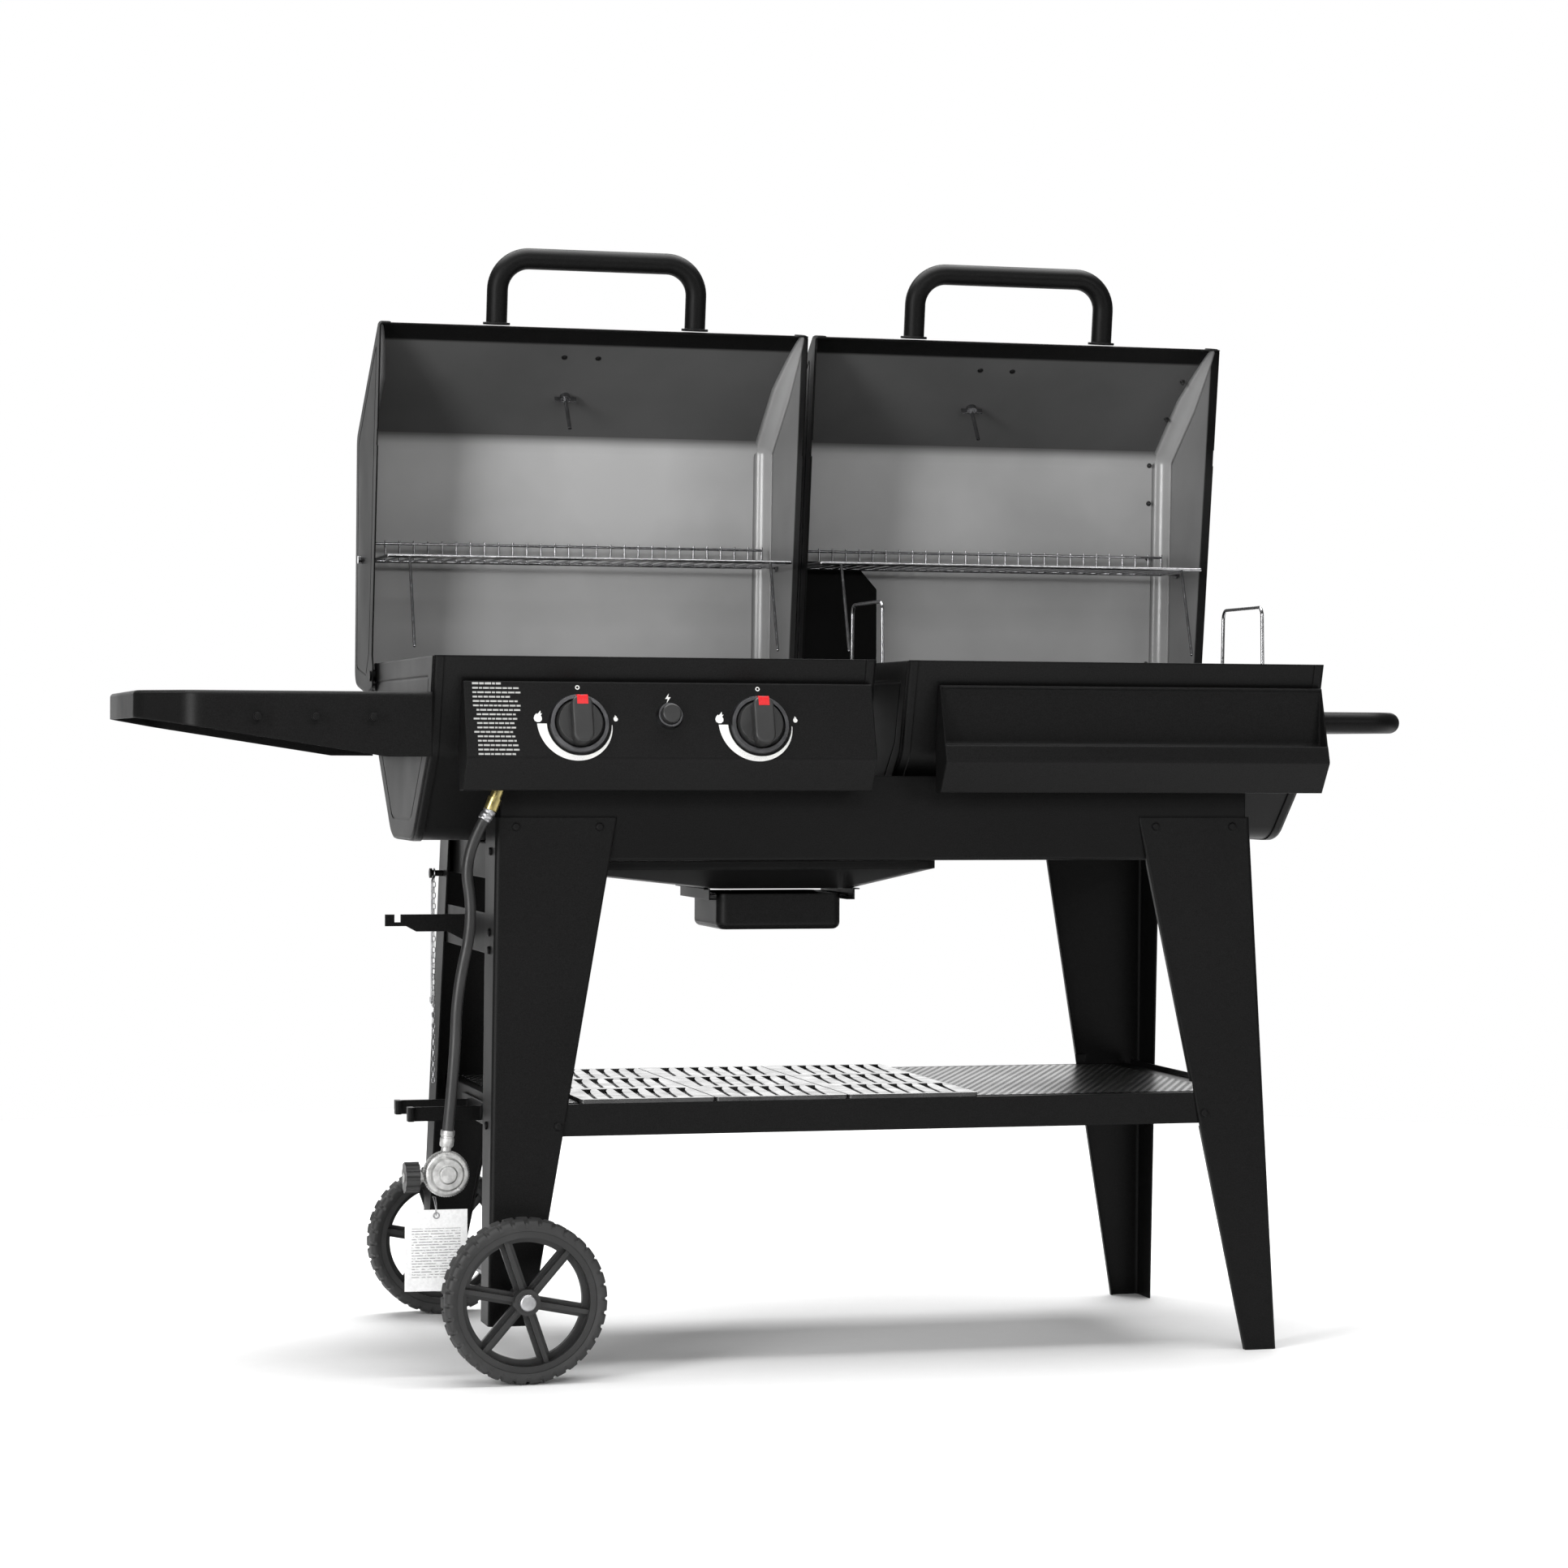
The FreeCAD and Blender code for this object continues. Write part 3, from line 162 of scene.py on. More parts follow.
def powderPaint(name, look, inside=None):
    # Powder coat: fine pebbled bump, speckled tone, cloudy gloss. Painted light inside the open
    # lids: a lighter grey stands in for the light that falls there. inside is "back" for faces
    # looking forwards below the hem, the X of a lid's middle for end faces looking inwards behind
    # the rim, and "all" for every face.
    material, shader = newMaterial(name)
    speckle = noise(material, look["speckleScale"], 3, 0.6)
    tone = spread(material, speckle, 0.3, 0.7, 0, 1)
    colour = mixColours(material, tone, grey(look["dark"]), grey(look["light"]))
    cloud = noise(material, 5, 3)
    rough = spread(material, cloud, 0.3, 0.7, look["roughLow"], look["roughHigh"])
    if inside is not None:
        coords = addNode(material, "ShaderNodeTexCoord")
        parts = addNode(material, "ShaderNodeSeparateXYZ", {"Vector": coords.outputs["Normal"]})
        facing = 1.0
        place = addNode(material, "ShaderNodeSeparateXYZ", {"Vector": coords.outputs["Object"]})
        if inside == "back":
            facing = addNode(material, "ShaderNodeMath", {
                0: spread(material, parts.outputs["Y"], -0.50, -0.95, 0, 1),
                1: spread(material, place.outputs["Z"], hemLook["bareLow"], hemLook["bareHigh"],
                          1, 0)},
                operation="MULTIPLY").outputs[0]
        elif inside != "all":
            reach = addNode(material, "ShaderNodeMath", {0: place.outputs["X"], 1: inside},
                            operation="SUBTRACT")
            inwards = addNode(material, "ShaderNodeMath",
                              {0: reach.outputs[0], 1: parts.outputs["X"]},
                              operation="MULTIPLY")
            rimLine = spread(material, place.outputs["Z"], hemLook["rimLowZ"],
                             hemLook["rimHighZ"], hemLook["rimLowY"], hemLook["rimHighY"])
            fromRim = addNode(material, "ShaderNodeMath", {0: place.outputs["Y"], 1: rimLine},
                              operation="SUBTRACT")
            facing = addNode(material, "ShaderNodeMath", {
                0: spread(material, inwards.outputs[0], -0.1, -0.2, 0, hemLook["endShare"]),
                1: spread(material, fromRim.outputs[0], hemLook["edgeLow"],
                          hemLook["edgeHigh"], 0, 1)},
                operation="MULTIPLY").outputs[0]
        # Painted light: the lighter grey stands in for the light these inner faces catch.
        paintedLightGrey = mixColours(material, spread(material, noise(material, 3, 4), 0.35, 0.65, 0, 1),
                           grey(look["paintedLightLow"]), grey(look["paintedLightHigh"]))
        colour = mixColours(material, facing, colour, paintedLightGrey)
    connect(material, colour, shader, "Base Color")
    connect(material, rough, shader, "Roughness")
    edges = roundedEdges(material, look["edgeRound"])
    pebbles = bump(material, noise(material, 900, 2), look["pebbles"], 0.0004, edges)
    connect(material, pebbles, shader, "Normal")
    shader.inputs["IOR"].default_value = 1.45
    shader.inputs["Specular IOR Level"].default_value = look["specular"]
    return material


def plasticFinish(name, tone, rough, grain):
    # Moulded plastic or rubber: fine grain, a dusty bloom in large soft patches.
    material, shader = newMaterial(name)
    dust = spread(material, noise(material, 18, 4), 0.45, 0.75, 0, 1)
    colour = mixColours(material, dust, grey(tone), grey(tone * 1.9))
    connect(material, colour, shader, "Base Color")
    connect(material, spread(material, noise(material, 60, 3), 0.3, 0.7, rough, rough + 0.14),
            shader, "Roughness")
    edges = roundedEdges(material, 0.0008)
    connect(material, bump(material, noise(material, grain, 3), 0.2, 0.0003, edges), shader,
            "Normal")
    return material


def metalFinish(name, colour, roughLow, roughHigh, grain, depth):
    # Bare metal: tone and gloss vary with a coarse noise, and the cast or drawn grain is bump.
    material, shader = newMaterial(name)
    shade = spread(material, noise(material, grain * 0.2, 4), 0.3, 0.7, 0, 1)
    darker = tuple(c * 0.62 for c in colour[:3]) + (1,)
    connect(material, mixColours(material, shade, darker, colour), shader, "Base Color")
    connect(material, spread(material, noise(material, grain * 0.5, 3), 0.3, 0.7, roughLow,
                             roughHigh), shader, "Roughness")
    shader.inputs["Metallic"].default_value = 1
    edges = roundedEdges(material, 0.0005)
    connect(material, bump(material, noise(material, grain, 3), depth, 0.0003, edges), shader,
            "Normal")
    return material


def castIron():
    # Seasoned cast iron: pebbled skin, an oily gloss that comes and goes.
    material, shader = newMaterial("castIron")
    patches = spread(material, noise(material, 25, 4), 0.3, 0.7, 0, 1)
    connect(material, mixColours(material, patches, grey(0.015), grey(0.05)), shader,
            "Base Color")
    connect(material, spread(material, noise(material, 40, 3), 0.3, 0.7, 0.16, 0.30), shader,
            "Roughness")
    pebbles = addNode(material, "ShaderNodeTexVoronoi",
                      {"Vector": objectPoint(material), "Scale": 420.0})
    edges = roundedEdges(material, 0.0015)
    connect(material, bump(material, pebbles.outputs["Distance"], 0.12, 0.0004, edges), shader,
            "Normal")
    shader.inputs["Specular IOR Level"].default_value = 0.8
    return material


def printInk(name, colour, rough):
    # Screen-printed ink: faint mottling where the paint's grain shows through.
    material, shader = newMaterial(name)
    worn = spread(material, noise(material, 900, 3), 0.25, 0.6, 0, 1)
    faded = tuple(c * 0.72 for c in colour[:3]) + (1,)
    connect(material, mixColours(material, worn, faded, colour), shader, "Base Color")
    shader.inputs["Roughness"].default_value = rough
    connect(material, bump(material, noise(material, 900, 2), 0.15, 0.0003), shader, "Normal")
    return material


paint = powderPaint("powderPaint", paintLook)
# Lids and liners carry painted light: a lighter grey on their inner faces in place of the light
# they catch.
lidPaint = powderPaint("lidPaint", paintLook, inside="back")
linerPaint = powderPaint("linerPaint", {**paintLook, "roughLow": 0.20, "roughHigh": 0.26,
                                        "specular": 0.75, "pebbles": 0.06,
                                        "paintedLightLow": 0.30, "paintedLightHigh": 0.42}, inside="all")
# Painted shade: the vent baffle is painted darker than the other paint, for the shade it stands in
# behind the rack.
bafflePaintedShade = powderPaint("bafflePaintedShade", {**paintLook, "dark": 0.0006, "light": 0.0016,
                                          "specular": 0.08})
plastic = plasticFinish("blackPlastic", 0.012, 0.34, 1100)
rubber = plasticFinish("tyreRubber", 0.016, 0.55, 500)
hoseSkin = plasticFinish("hoseRubber", 0.011, 0.36, 700)
bezelPaint = metalFinish("bezelMetal", (0.12, 0.12, 0.125, 1), 0.28, 0.4, 300, 0.1)
chrome = metalFinish("chromeWire", (0.42, 0.42, 0.43, 1), 0.14, 0.27, 500, 0.06)
zinc = metalFinish("zincSteel", (0.48, 0.48, 0.49, 1), 0.3, 0.5, 400, 0.15)
burnerSteel = metalFinish("burnerSteel", (0.5, 0.49, 0.47, 1), 0.3, 0.5, 200, 0.12)
castZinc = metalFinish("castZinc", (0.62, 0.62, 0.61, 1), 0.38, 0.6, 700, 0.4)
brass = metalFinish("brassFitting", (0.62, 0.52, 0.22, 1), 0.25, 0.4, 500, 0.1)
iron = castIron()
whiteInk = printInk("whiteInk", (0.78, 0.78, 0.76, 1), 0.5)
redInk = printInk("redInk", (0.62, 0.012, 0.016, 1), 0.35)
textInk = printInk("textInk", (0.42, 0.42, 0.41, 1), 0.55)
print("finishes made")


# Shared mesh tools

def gridFaces(rows, columns):
    # Quads of a grid whose columns run round and join up.
    r, c = np.meshgrid(np.arange(rows - 1), np.arange(columns), indexing="ij")
    nextC = (c + 1) % columns
    quads = np.stack([r * columns + c, r * columns + nextC, (r + 1) * columns + nextC,
                      (r + 1) * columns + c], axis=-1)
    return quads.reshape(-1, 4)


def frameAlong(direction):
    # Two unit vectors square to a direction and to each other.
    d = np.array(direction, float)
    d /= np.linalg.norm(d)
    helper = np.array([0, 0, 1.0]) if abs(d[2]) < 0.9 else np.array([1.0, 0, 0])
    a = np.cross(d, helper)
    a /= np.linalg.norm(a)
    return d, a, np.cross(d, a)


def turned(profile, start, direction, sides=32, ribs=0, depth=0.0, ribRange=(0, 0)):
    # Point = start + along * direction + radius * (cos t * a + sin t * b); between the two
    # rows of ribRange the radius drops by depth with each rib, as a squared cosine.
    profile = np.array(profile, float)
    d, a, b = frameAlong(direction)
    t = np.linspace(0, 2 * np.pi, sides, endpoint=False)
    radius = np.repeat(profile[:, 1:2], sides, axis=1)
    if ribs:
        wave = depth * (0.5 - 0.5 * np.sign(np.cos(ribs * t)))
        radius[ribRange[0]:ribRange[1]] -= wave
    ring = np.cos(t)[:, None] * a + np.sin(t)[:, None] * b
    points = (np.array(start, float) + profile[:, 0, None, None] * d
              + radius[:, :, None] * ring[None, :, :])
    return points.reshape(-1, 3), gridFaces(len(profile), sides)


def swept(path, radius, sides=10, closed=False):
    # A circle carried along a path, square to it: centre + radius * (cos t * a + sin t * b),
    # with a and b turned no more than the path turns.
    path = np.array(path, float)
    if closed:
        along = np.roll(path, -1, axis=0) - np.roll(path, 1, axis=0)
    else:
        along = np.gradient(path, axis=0)
    along /= np.linalg.norm(along, axis=1)[:, None]
    flat = np.cross(along[0], along[len(path) // 3])
    if np.linalg.norm(flat) < 1e-6:
        flat = frameAlong(along[0])[1]
    side = np.cross(along, flat / np.linalg.norm(flat))
    side /= np.linalg.norm(side, axis=1)[:, None]
    up = np.cross(along, side)
    t = np.linspace(0, 2 * np.pi, sides, endpoint=False)
    points = (path[:, None, :] + radius * (np.cos(t)[None, :, None] * side[:, None, :]
                                           + np.sin(t)[None, :, None] * up[:, None, :]))
    faces = gridFaces(len(path), sides)
    if closed:
        last = (len(path) - 1) * sides
        c = np.arange(sides)
        nextC = (c + 1) % sides
        joinUp = np.stack([last + c, last + nextC, nextC, c], axis=-1)
        return points.reshape(-1, 3), np.vstack([faces, joinUp])
    ends = [list(range(sides))[::-1], list(range((len(path) - 1) * sides, len(path) * sides))]
    return points.reshape(-1, 3), [list(f) for f in faces] + ends


def slab(outline, place, low, high):
    # A flat outline with thickness: place maps (u, v, height) to a point; two caps and a wall.
    outline = np.array(outline, float)
    n = len(outline)
    rows = [place(outline[:, 0], outline[:, 1], np.full(n, h)) for h in (low, high)]
    faces = [list(f) for f in gridFaces(2, n)]
    return np.vstack(rows), faces + [list(range(n))[::-1], list(range(n, 2 * n))]


def addPiece(name, parts, material, body, sharpAngle=35):
    # Joins parts of (points, faces), merges doubles, turns faces outwards, and rides a body.
    points, faces, start = [], [], 0
    for partPoints, partFaces in parts:
        points.append(np.asarray(partPoints, float))
        faces += [[int(i) + start for i in face] for face in partFaces]
        start += len(partPoints)
    mesh = bpy.data.meshes.new(name)
    mesh.from_pydata(np.vstack(points).tolist(), [], faces)
    work = bmesh.new()
    work.from_mesh(mesh)
    bmesh.ops.remove_doubles(work, verts=work.verts, dist=2e-6)
    bmesh.ops.dissolve_degenerate(work, dist=1e-6, edges=work.edges)
    bmesh.ops.recalc_face_normals(work, faces=work.faces)
    work.to_mesh(mesh)
    work.free()
    mesh.shade_smooth()
    mesh.set_sharp_from_angle(angle=math.radians(sharpAngle))
    piece = bpy.data.objects.new(name, mesh)
    scene.collection.objects.link(piece)
    mesh.materials.append(material)
    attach(piece, body)
    return piece


# Gas hose with its fitting, regulator, hand nut and tag

hoseLook = {"radius": 0.007, "length": 0.3974, "regulator": (-0.468, -0.24333, 0.247),
            "discRadius": 0.0285, "knurls": 60}
hoseRoute = ((-0.4150, -0.24333, 0.692), (-0.4490, -0.24333, 0.640), (-0.4350, -0.24433, 0.560),
             (-0.4560, -0.24633, 0.470), (-0.4580, -0.24533, 0.385), (-0.4660, -0.24333, 0.300))


def makeHose(look, route):
    curve = bpy.data.curves.new("gasHose", "CURVE")
    curve.dimensions = "3D"
    curve.bevel_depth = look["radius"]
    curve.bevel_resolution = 6
    curve.resolution_u = 16
    curve.render_resolution_u = 16
    curve.use_fill_caps = True
    spline = curve.splines.new("NURBS")
    spline.points.add(len(route) - 1)
    spline.points.foreach_set("co", [n for point in route for n in (*point, 1.0)])
    spline.order_u = 3
    spline.use_endpoint_u = True
    hose = bpy.data.objects.new("gasHose", curve)
    scene.collection.objects.link(hose)
    curve.materials.append(hoseSkin)
    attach(hose, "cart")
    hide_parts("gas_hose")
    return hose


def makeRegulator(look, route):
    # Crimped collar, neck, ribbed disc with stepped cover and cap, and the outlet to the nut.
    c = np.array(look["regulator"])
    end = np.array(route[-1])
    down = end - np.array(route[-2])
    down /= np.linalg.norm(down)
    r = look["discRadius"]
    collar = [(0, 0), (0, 8.2), (1, 8.5), (6, 8.5), (6.8, 7.7), (8.6, 7.7), (9.4, 8.5),
              (18, 8.5), (20, 7.6), (20, 6), (32, 6), (32, 0)]
    disc = [(-10, 0), (-10, r * 1000 - 3), (-9, r * 1000 - 1), (-7, r * 1000 - 0.2),
            (-5, r * 1000), (4, r * 1000), (6, r * 1000 - 0.4), (8, r * 1000 - 1.6),
            (9, r * 1000 - 3.4), (9.4, r * 1000 - 6), (9.2, 21), (11.5, 19.6), (13, 18.6),
            (13.6, 16), (13.8, 12), (15, 10.6), (17, 10), (17.6, 8.6), (18, 0)]
    outlet = [(14, 0), (14, 6), (31, 6), (31, 9), (33, 9), (33, 6), (52, 6), (52, 0)]
    toMetres = [np.array(p) * mm for p in (collar, disc, outlet)]
    side = c + np.array([0, 0.004, -0.004])
    screws = []
    for angle in np.radians([20, 92, 164, 236, 308]):
        spot = c + np.array([0.0232 * math.cos(angle), -0.0088, 0.0232 * math.sin(angle)])
        screws.append(turned(np.array([(0, 0), (0, 2.1), (1.1, 1.9), (1.5, 0)]) * mm, spot,
                             (0, -1, 0), 10))
    parts = [turned(toMetres[0], end, down, 24),
             turned(toMetres[1], c, (0, -1, 0), 180, look["knurls"], 0.0009, (3, 8)),
             turned(toMetres[2], side, (-1, 0, 0), 24)]
    piece = addPiece("regulatorCasting", parts + screws, castZinc, "cart")
    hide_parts("regulator")
    return piece


tagLook = {"left": -0.521, "right": -0.444, "low": 0.106, "high": 0.205, "y": -0.25733,
           "curl": 0.0016, "rows": 22, "side": 15, "thick": 0.0003, "holeZ": 0.198,
           "holeRadius": 0.0034}


def makeTag(look):
    # Paper card, u across and v up: y = middle - curl * cos(pi * u / 2) * (1 - v), half the
    # thickness either side.
    side, last = look["side"], look["side"] - 1
    u, v = np.meshgrid(np.linspace(-1, 1, side), np.linspace(0, 1, side), indexing="ij")
    halfX = (look["right"] - look["left"]) / 2
    x = (look["left"] + look["right"]) / 2 + halfX * u
    z = look["low"] + (look["high"] - look["low"]) * v
    y = look["y"] - look["curl"] * np.cos(np.pi * u / 2) * (1 - v)
    n = u.size
    front = np.stack([x, y - look["thick"] / 2, z], axis=-1).reshape(-1, 3)
    back = front + np.array([0, look["thick"], 0])
    r, c = np.meshgrid(np.arange(last), np.arange(last), indexing="ij")
    quads = np.stack([r * side + c, (r + 1) * side + c, (r + 1) * side + c + 1,
                      r * side + c + 1], axis=-1).reshape(-1, 4)
    k = np.arange(last)
    border = np.concatenate([k, last + side * k, n - 1 - k, side * (last - k)]).tolist()
    walls = [(a, b, b + n, a + n) for a, b in zip(border, border[1:] + border[:1])]
    faces = [list(q) for q in quads] + [list(q[::-1] + n) for q in quads] + walls
    piece = addPiece("tagCard", [(np.vstack([front, back]), faces)], tagPaper(look), "cart")
    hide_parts("paper_tag")
    hole = (look["left"] + look["right"]) / 2
    t = np.linspace(0, 2 * np.pi, 20, endpoint=False)
    grommet = np.stack([hole + look["holeRadius"] * np.cos(t), np.full(20, look["y"] - 0.0004),
                        look["holeZ"] + look["holeRadius"] * np.sin(t)], axis=-1)
    loop = [(hole, look["y"] - 0.0002, look["holeZ"]), (hole - 0.001, look["y"] - 0.0012, 0.207),
            (hole - 0.0015, look["y"] + 0.004, 0.214), (hole - 0.002, -0.2435, 0.2195),
            (hole + 0.0015, -0.2425, 0.2185), (hole + 0.001, look["y"] + 0.005, 0.212),
            (hole + 0.0005, look["y"] + 0.001, 0.204)]
    ring = addPiece("tagLoop", [swept(grommet, 0.0009, 8, closed=True),
                                swept(loop, 0.0006, 8, closed=True)], zinc, "cart")
    return piece, ring


def tagPaper(look):
    # Card stock with rows of small grey print, from waves along x and z inside a margin.
    material, shader = newMaterial("tagPaper")
    point = objectPoint(material)
    parts = addNode(material, "ShaderNodeSeparateXYZ", {"Vector": point})
    pitch = (look["high"] - look["low"]) / (look["rows"] + 8)
    stretched = addNode(material, "ShaderNodeMapping", {"Vector": point,
                                                        "Scale": (1, 0, 1 / (pitch * 260))})
    words = noise(material, 260, 2, 0.7, stretched.outputs["Vector"])
    wave = addNode(material, "ShaderNodeMath",
                   {0: parts.outputs["Z"], 1: 2 * math.pi / pitch}, operation="MULTIPLY")
    line = addNode(material, "ShaderNodeMath", {0: wave.outputs[0]}, operation="SINE")
    rowMask = spread(material, line.outputs[0], 0.1, 0.5, 0, 1)
    wordMask = spread(material, words, 0.42, 0.47, 0, 1)
    inX = spread(material, parts.outputs["X"], look["left"] + 0.008, look["left"] + 0.009, 0, 1)
    outX = spread(material, parts.outputs["X"], look["right"] - 0.009, look["right"] - 0.008,
                  1, 0)
    inZ = spread(material, parts.outputs["Z"], look["low"] + 0.016, look["low"] + 0.017, 0, 1)
    outZ = spread(material, parts.outputs["Z"], look["high"] - 0.023, look["high"] - 0.022, 1, 0)
    mask = rowMask
    for factor in (wordMask, inX, outX, inZ, outZ):
        mask = addNode(material, "ShaderNodeMath", {0: mask, 1: factor},
                       operation="MULTIPLY").outputs[0]
    fibres = spread(material, noise(material, 300, 4), 0.3, 0.7, 0, 1)
    card = mixColours(material, fibres, grey(0.70), grey(0.80))
    connect(material, mixColours(material, mask, card, grey(0.33)), shader, "Base Color")
    shader.inputs["Roughness"].default_value = 0.8
    connect(material, bump(material, noise(material, 300, 4), 0.15, 0.0003), shader, "Normal")
    return material


hose = makeHose(hoseLook, hoseRoute)
regulator = makeRegulator(hoseLook, hoseRoute)
tagCard, tagLoop = makeTag(tagLook)
print("hose and regulator made")


# Materials of the pieces kept from the frame

finishOfSlot = {"black_paint": paint, "black_plastic": plastic, "bezel_metal": bezelPaint,
                "tyre_rubber": rubber, "hose_rubber": hoseSkin, "chrome_wire": chrome,
                "zinc_steel": zinc, "burner_steel": burnerSteel, "cast_iron": iron,
                "brass": brass, "regulator_zinc": castZinc, "tag_paper": whiteInk}
slotOfNode = {}
for slotName, names in {
        "black_plastic": "knob_left knob_right wheel_front wheel_rear igniter_button coupling_nut",
        "bezel_metal": "panel_bezels",
        "tyre_rubber": "tyre_front tyre_rear",
        "chrome_wire": "warming_rack_left warming_rack_right charcoal_tray_handles "
                       "thermometer_left thermometer_right",
        "zinc_steel": "axle_caps axle lighting_rod gas_manifold gas_valves",
        "burner_steel": "burners heat_tents",
        "cast_iron": "cooking_grates",
        "brass": "gas_inlet_fitting"}.items():
    for nodeName in names.split():
        slotOfNode[nodeName] = slotName
for nodeName, node in nodes.items():
    finish = finishOfSlot[slotOfNode.get(nodeName, "black_paint")]
    if nodeName in ("lid_left_shell", "lid_right_shell"):
        finish = lidPaint
    elif nodeName in ("lid_left_ends", "lid_right_ends"):
        # Inner faces of the lid ends get a share of the painted light grey.
        low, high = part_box(nodeName)
        finish = powderPaint(nodeName + "Paint", {**paintLook, "specular": 0.09},
                             inside=(low.x + high.x) / 2)
    # Painted shade: the vent baffle gets the darker paint for the shade behind the rack.
    elif nodeName == "vent_baffle":
        finish = bafflePaintedShade
    node.data.materials.clear()
    node.data.materials.append(finish)
print("frame pieces painted")


# Wheels' tyres with tread blocks

tyreLook = {"outer": 0.100, "inner": 0.086, "width": 0.045, "blocks": 36, "grooveDepth": 0.0026,
            "perBlock": 12}


def makeTyre(name, node, body, look):
    # Section from bead to bead carried round the axle; the crown and shoulders drop by the
    # groove depth where a staggered square wave of the angle is low.
    low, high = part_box(node)
    centre = np.array((low + high) / 2)
    half = look["width"] / 2
    section = np.array([(look["inner"], -half + 0.002), (look["inner"] + 0.004, -half + 0.0006),
                        (look["outer"] - 0.007, -half), (look["outer"] - 0.0045, -half + 0.0004),
                        (look["outer"] - 0.002, -half + 0.0022),
                        (look["outer"] - 0.0006, -half + 0.0065),
                        (look["outer"], -half + 0.012), (look["outer"], -0.0018),
                        (look["outer"], 0.0018), (look["outer"], half - 0.012),
                        (look["outer"] - 0.0006, half - 0.0065),
                        (look["outer"] - 0.002, half - 0.0022),
                        (look["outer"] - 0.0045, half - 0.0004), (look["outer"] - 0.007, half),
                        (look["inner"] + 0.004, half - 0.0006), (look["inner"], half - 0.002)])
    sides = look["blocks"] * look["perBlock"]
    t = np.linspace(0, 2 * np.pi, sides, endpoint=False)
    phase = (np.arange(sides) % look["perBlock"]) / look["perBlock"]
    offset = np.where(section[:, 1] < 0, 0.0, 0.5)[:, None]
    shifted = (phase[None, :] + offset) % 1
    grooved = ((section[:, 0] > look["outer"] - 0.0075) & (np.abs(section[:, 1]) > 0.001))
    drop = look["grooveDepth"] * (shifted < 0.2) * grooved[:, None]
    middle = (np.abs(section[:, 1]) < 0.002)[:, None] * look["grooveDepth"] * 0.8
    radius = section[:, 0:1] - np.where(middle > 0, middle, drop)
    points = np.stack([centre[0] + radius * np.cos(t), np.broadcast_to(
        centre[1] + section[:, 1:2], radius.shape), centre[2] + radius * np.sin(t)], axis=-1)
    faces = gridFaces(len(section), sides)
    last = (len(section) - 1) * sides
    c = np.arange(sides)
    closing = np.stack([last + c, last + (c + 1) % sides, (c + 1) % sides, c], axis=-1)
    piece = addPiece(name, [(points.reshape(-1, 3), np.vstack([faces, closing]))], rubber, body,
                     30)
    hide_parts(node)


makeTyre("treadTyreFront", "tyre_front", "front_wheel", tyreLook)
makeTyre("treadTyreRear", "tyre_rear", "rear_wheel", tyreLook)
print("tyres made")


# Chain and lighting rod

chainLook = {"x": -0.418, "y": 0.15067, "top": 0.598, "low": 0.322, "linkLength": 0.0098,
             "linkWidth": 0.0052, "wire": 0.00065, "pitch": 0.0072,
             "eyeZ": 0.602, "eyeRadius": 0.0057}


def linkPath(centre, look, turnedLink):
    # A long oval: half circles joined by straight sides, in one of two crossed planes.
    t = np.linspace(0, 2 * np.pi, 12, endpoint=False)
    straight = (look["linkLength"] - look["linkWidth"]) / 2 - look["wire"]
    across = (look["linkWidth"] / 2 - look["wire"]) * np.cos(t)
    along = (look["linkWidth"] / 2 - look["wire"]) * np.sin(t) + straight * np.sign(np.sin(t))
    zero = np.zeros_like(t)
    x, y = (across, zero) if turnedLink else (zero, across)
    return np.stack([centre[0] + x, centre[1] + y, centre[2] + along], axis=-1)


def makeChain(look):
    parts = []
    count = int((look["top"] - look["low"]) / look["pitch"])
    for i in range(count):
        centre = (look["x"], look["y"], look["top"] - 0.004 - i * look["pitch"])
        parts.append(swept(linkPath(centre, look, i % 2), look["wire"], 6, closed=True))
    t = np.linspace(0, 2 * np.pi, 24, endpoint=False)
    eye = np.stack([np.full(24, look["x"]), look["y"] + look["eyeRadius"] * np.cos(t),
                    look["eyeZ"] + look["eyeRadius"] * np.sin(t)], axis=-1)
    parts.append(swept(eye, 0.0012, 8, closed=True))
    x, y = look["x"] - 0.004, look["y"] - 0.009
    stick = [(look["x"] - 0.001, look["y"] - 0.0055, 0.5985), (x, y, 0.5925), (x, y, 0.588),
             (x, y, 0.55), (x, y, 0.50), (x, y, 0.44), (x, y + 0.001, 0.434),
             (x, y + 0.004, 0.4305), (x, y + 0.007, 0.4325), (x, y + 0.0075, 0.438)]
    parts.append(swept(stick, 0.0014, 8))
    piece = addPiece("chainAndStick", parts, zinc, "lighting_rod")
    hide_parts("lighting_rod")


makeChain(chainLook)
print("chain made")


# Marks on the control panel and the knobs

panelLook = {"faceY": -0.26533, "bendY": -0.29333, "top": 0.850, "bend": 0.756,
             "knobZ": 0.798, "knobXs": (-0.312, -0.084), "igniterX": -0.198, "lift": 0.00012,
             "thick": 0.00018, "seed": 4, "dialInner": 0.0405, "dialOuter": 0.0525,
             "dialEnd": 0.0412, "offMarkV": 0.0465, "boltSize": 0.0062, "boltV": 0.0335,
             "lineLeft": -0.4425, "lineTop": 0.0495, "linePitch": 0.0056, "lines": 17,
             "fullLines": (0, 1, 2, 3, 4, 5, 8, 11), "indent": 0.004, "wordGap": 0.0012}


def onPanel(look):
    # Maps (u across from x = 0, v up the face from the knob line, height off it) to a point.
    rise, run = look["top"] - look["bend"], look["bendY"] - look["faceY"]
    length = math.hypot(rise, run)
    up = np.array([0, -run / length, rise / length])
    out = np.array([0, -rise / length, -run / length])
    share = (look["top"] - look["knobZ"]) / rise
    origin = np.array([0, look["faceY"] + run * share, look["knobZ"]])

    def place(u, v, height):
        return (origin + np.outer(u, (1, 0, 0)) + np.outer(v, up) + np.outer(height, out))
    return place


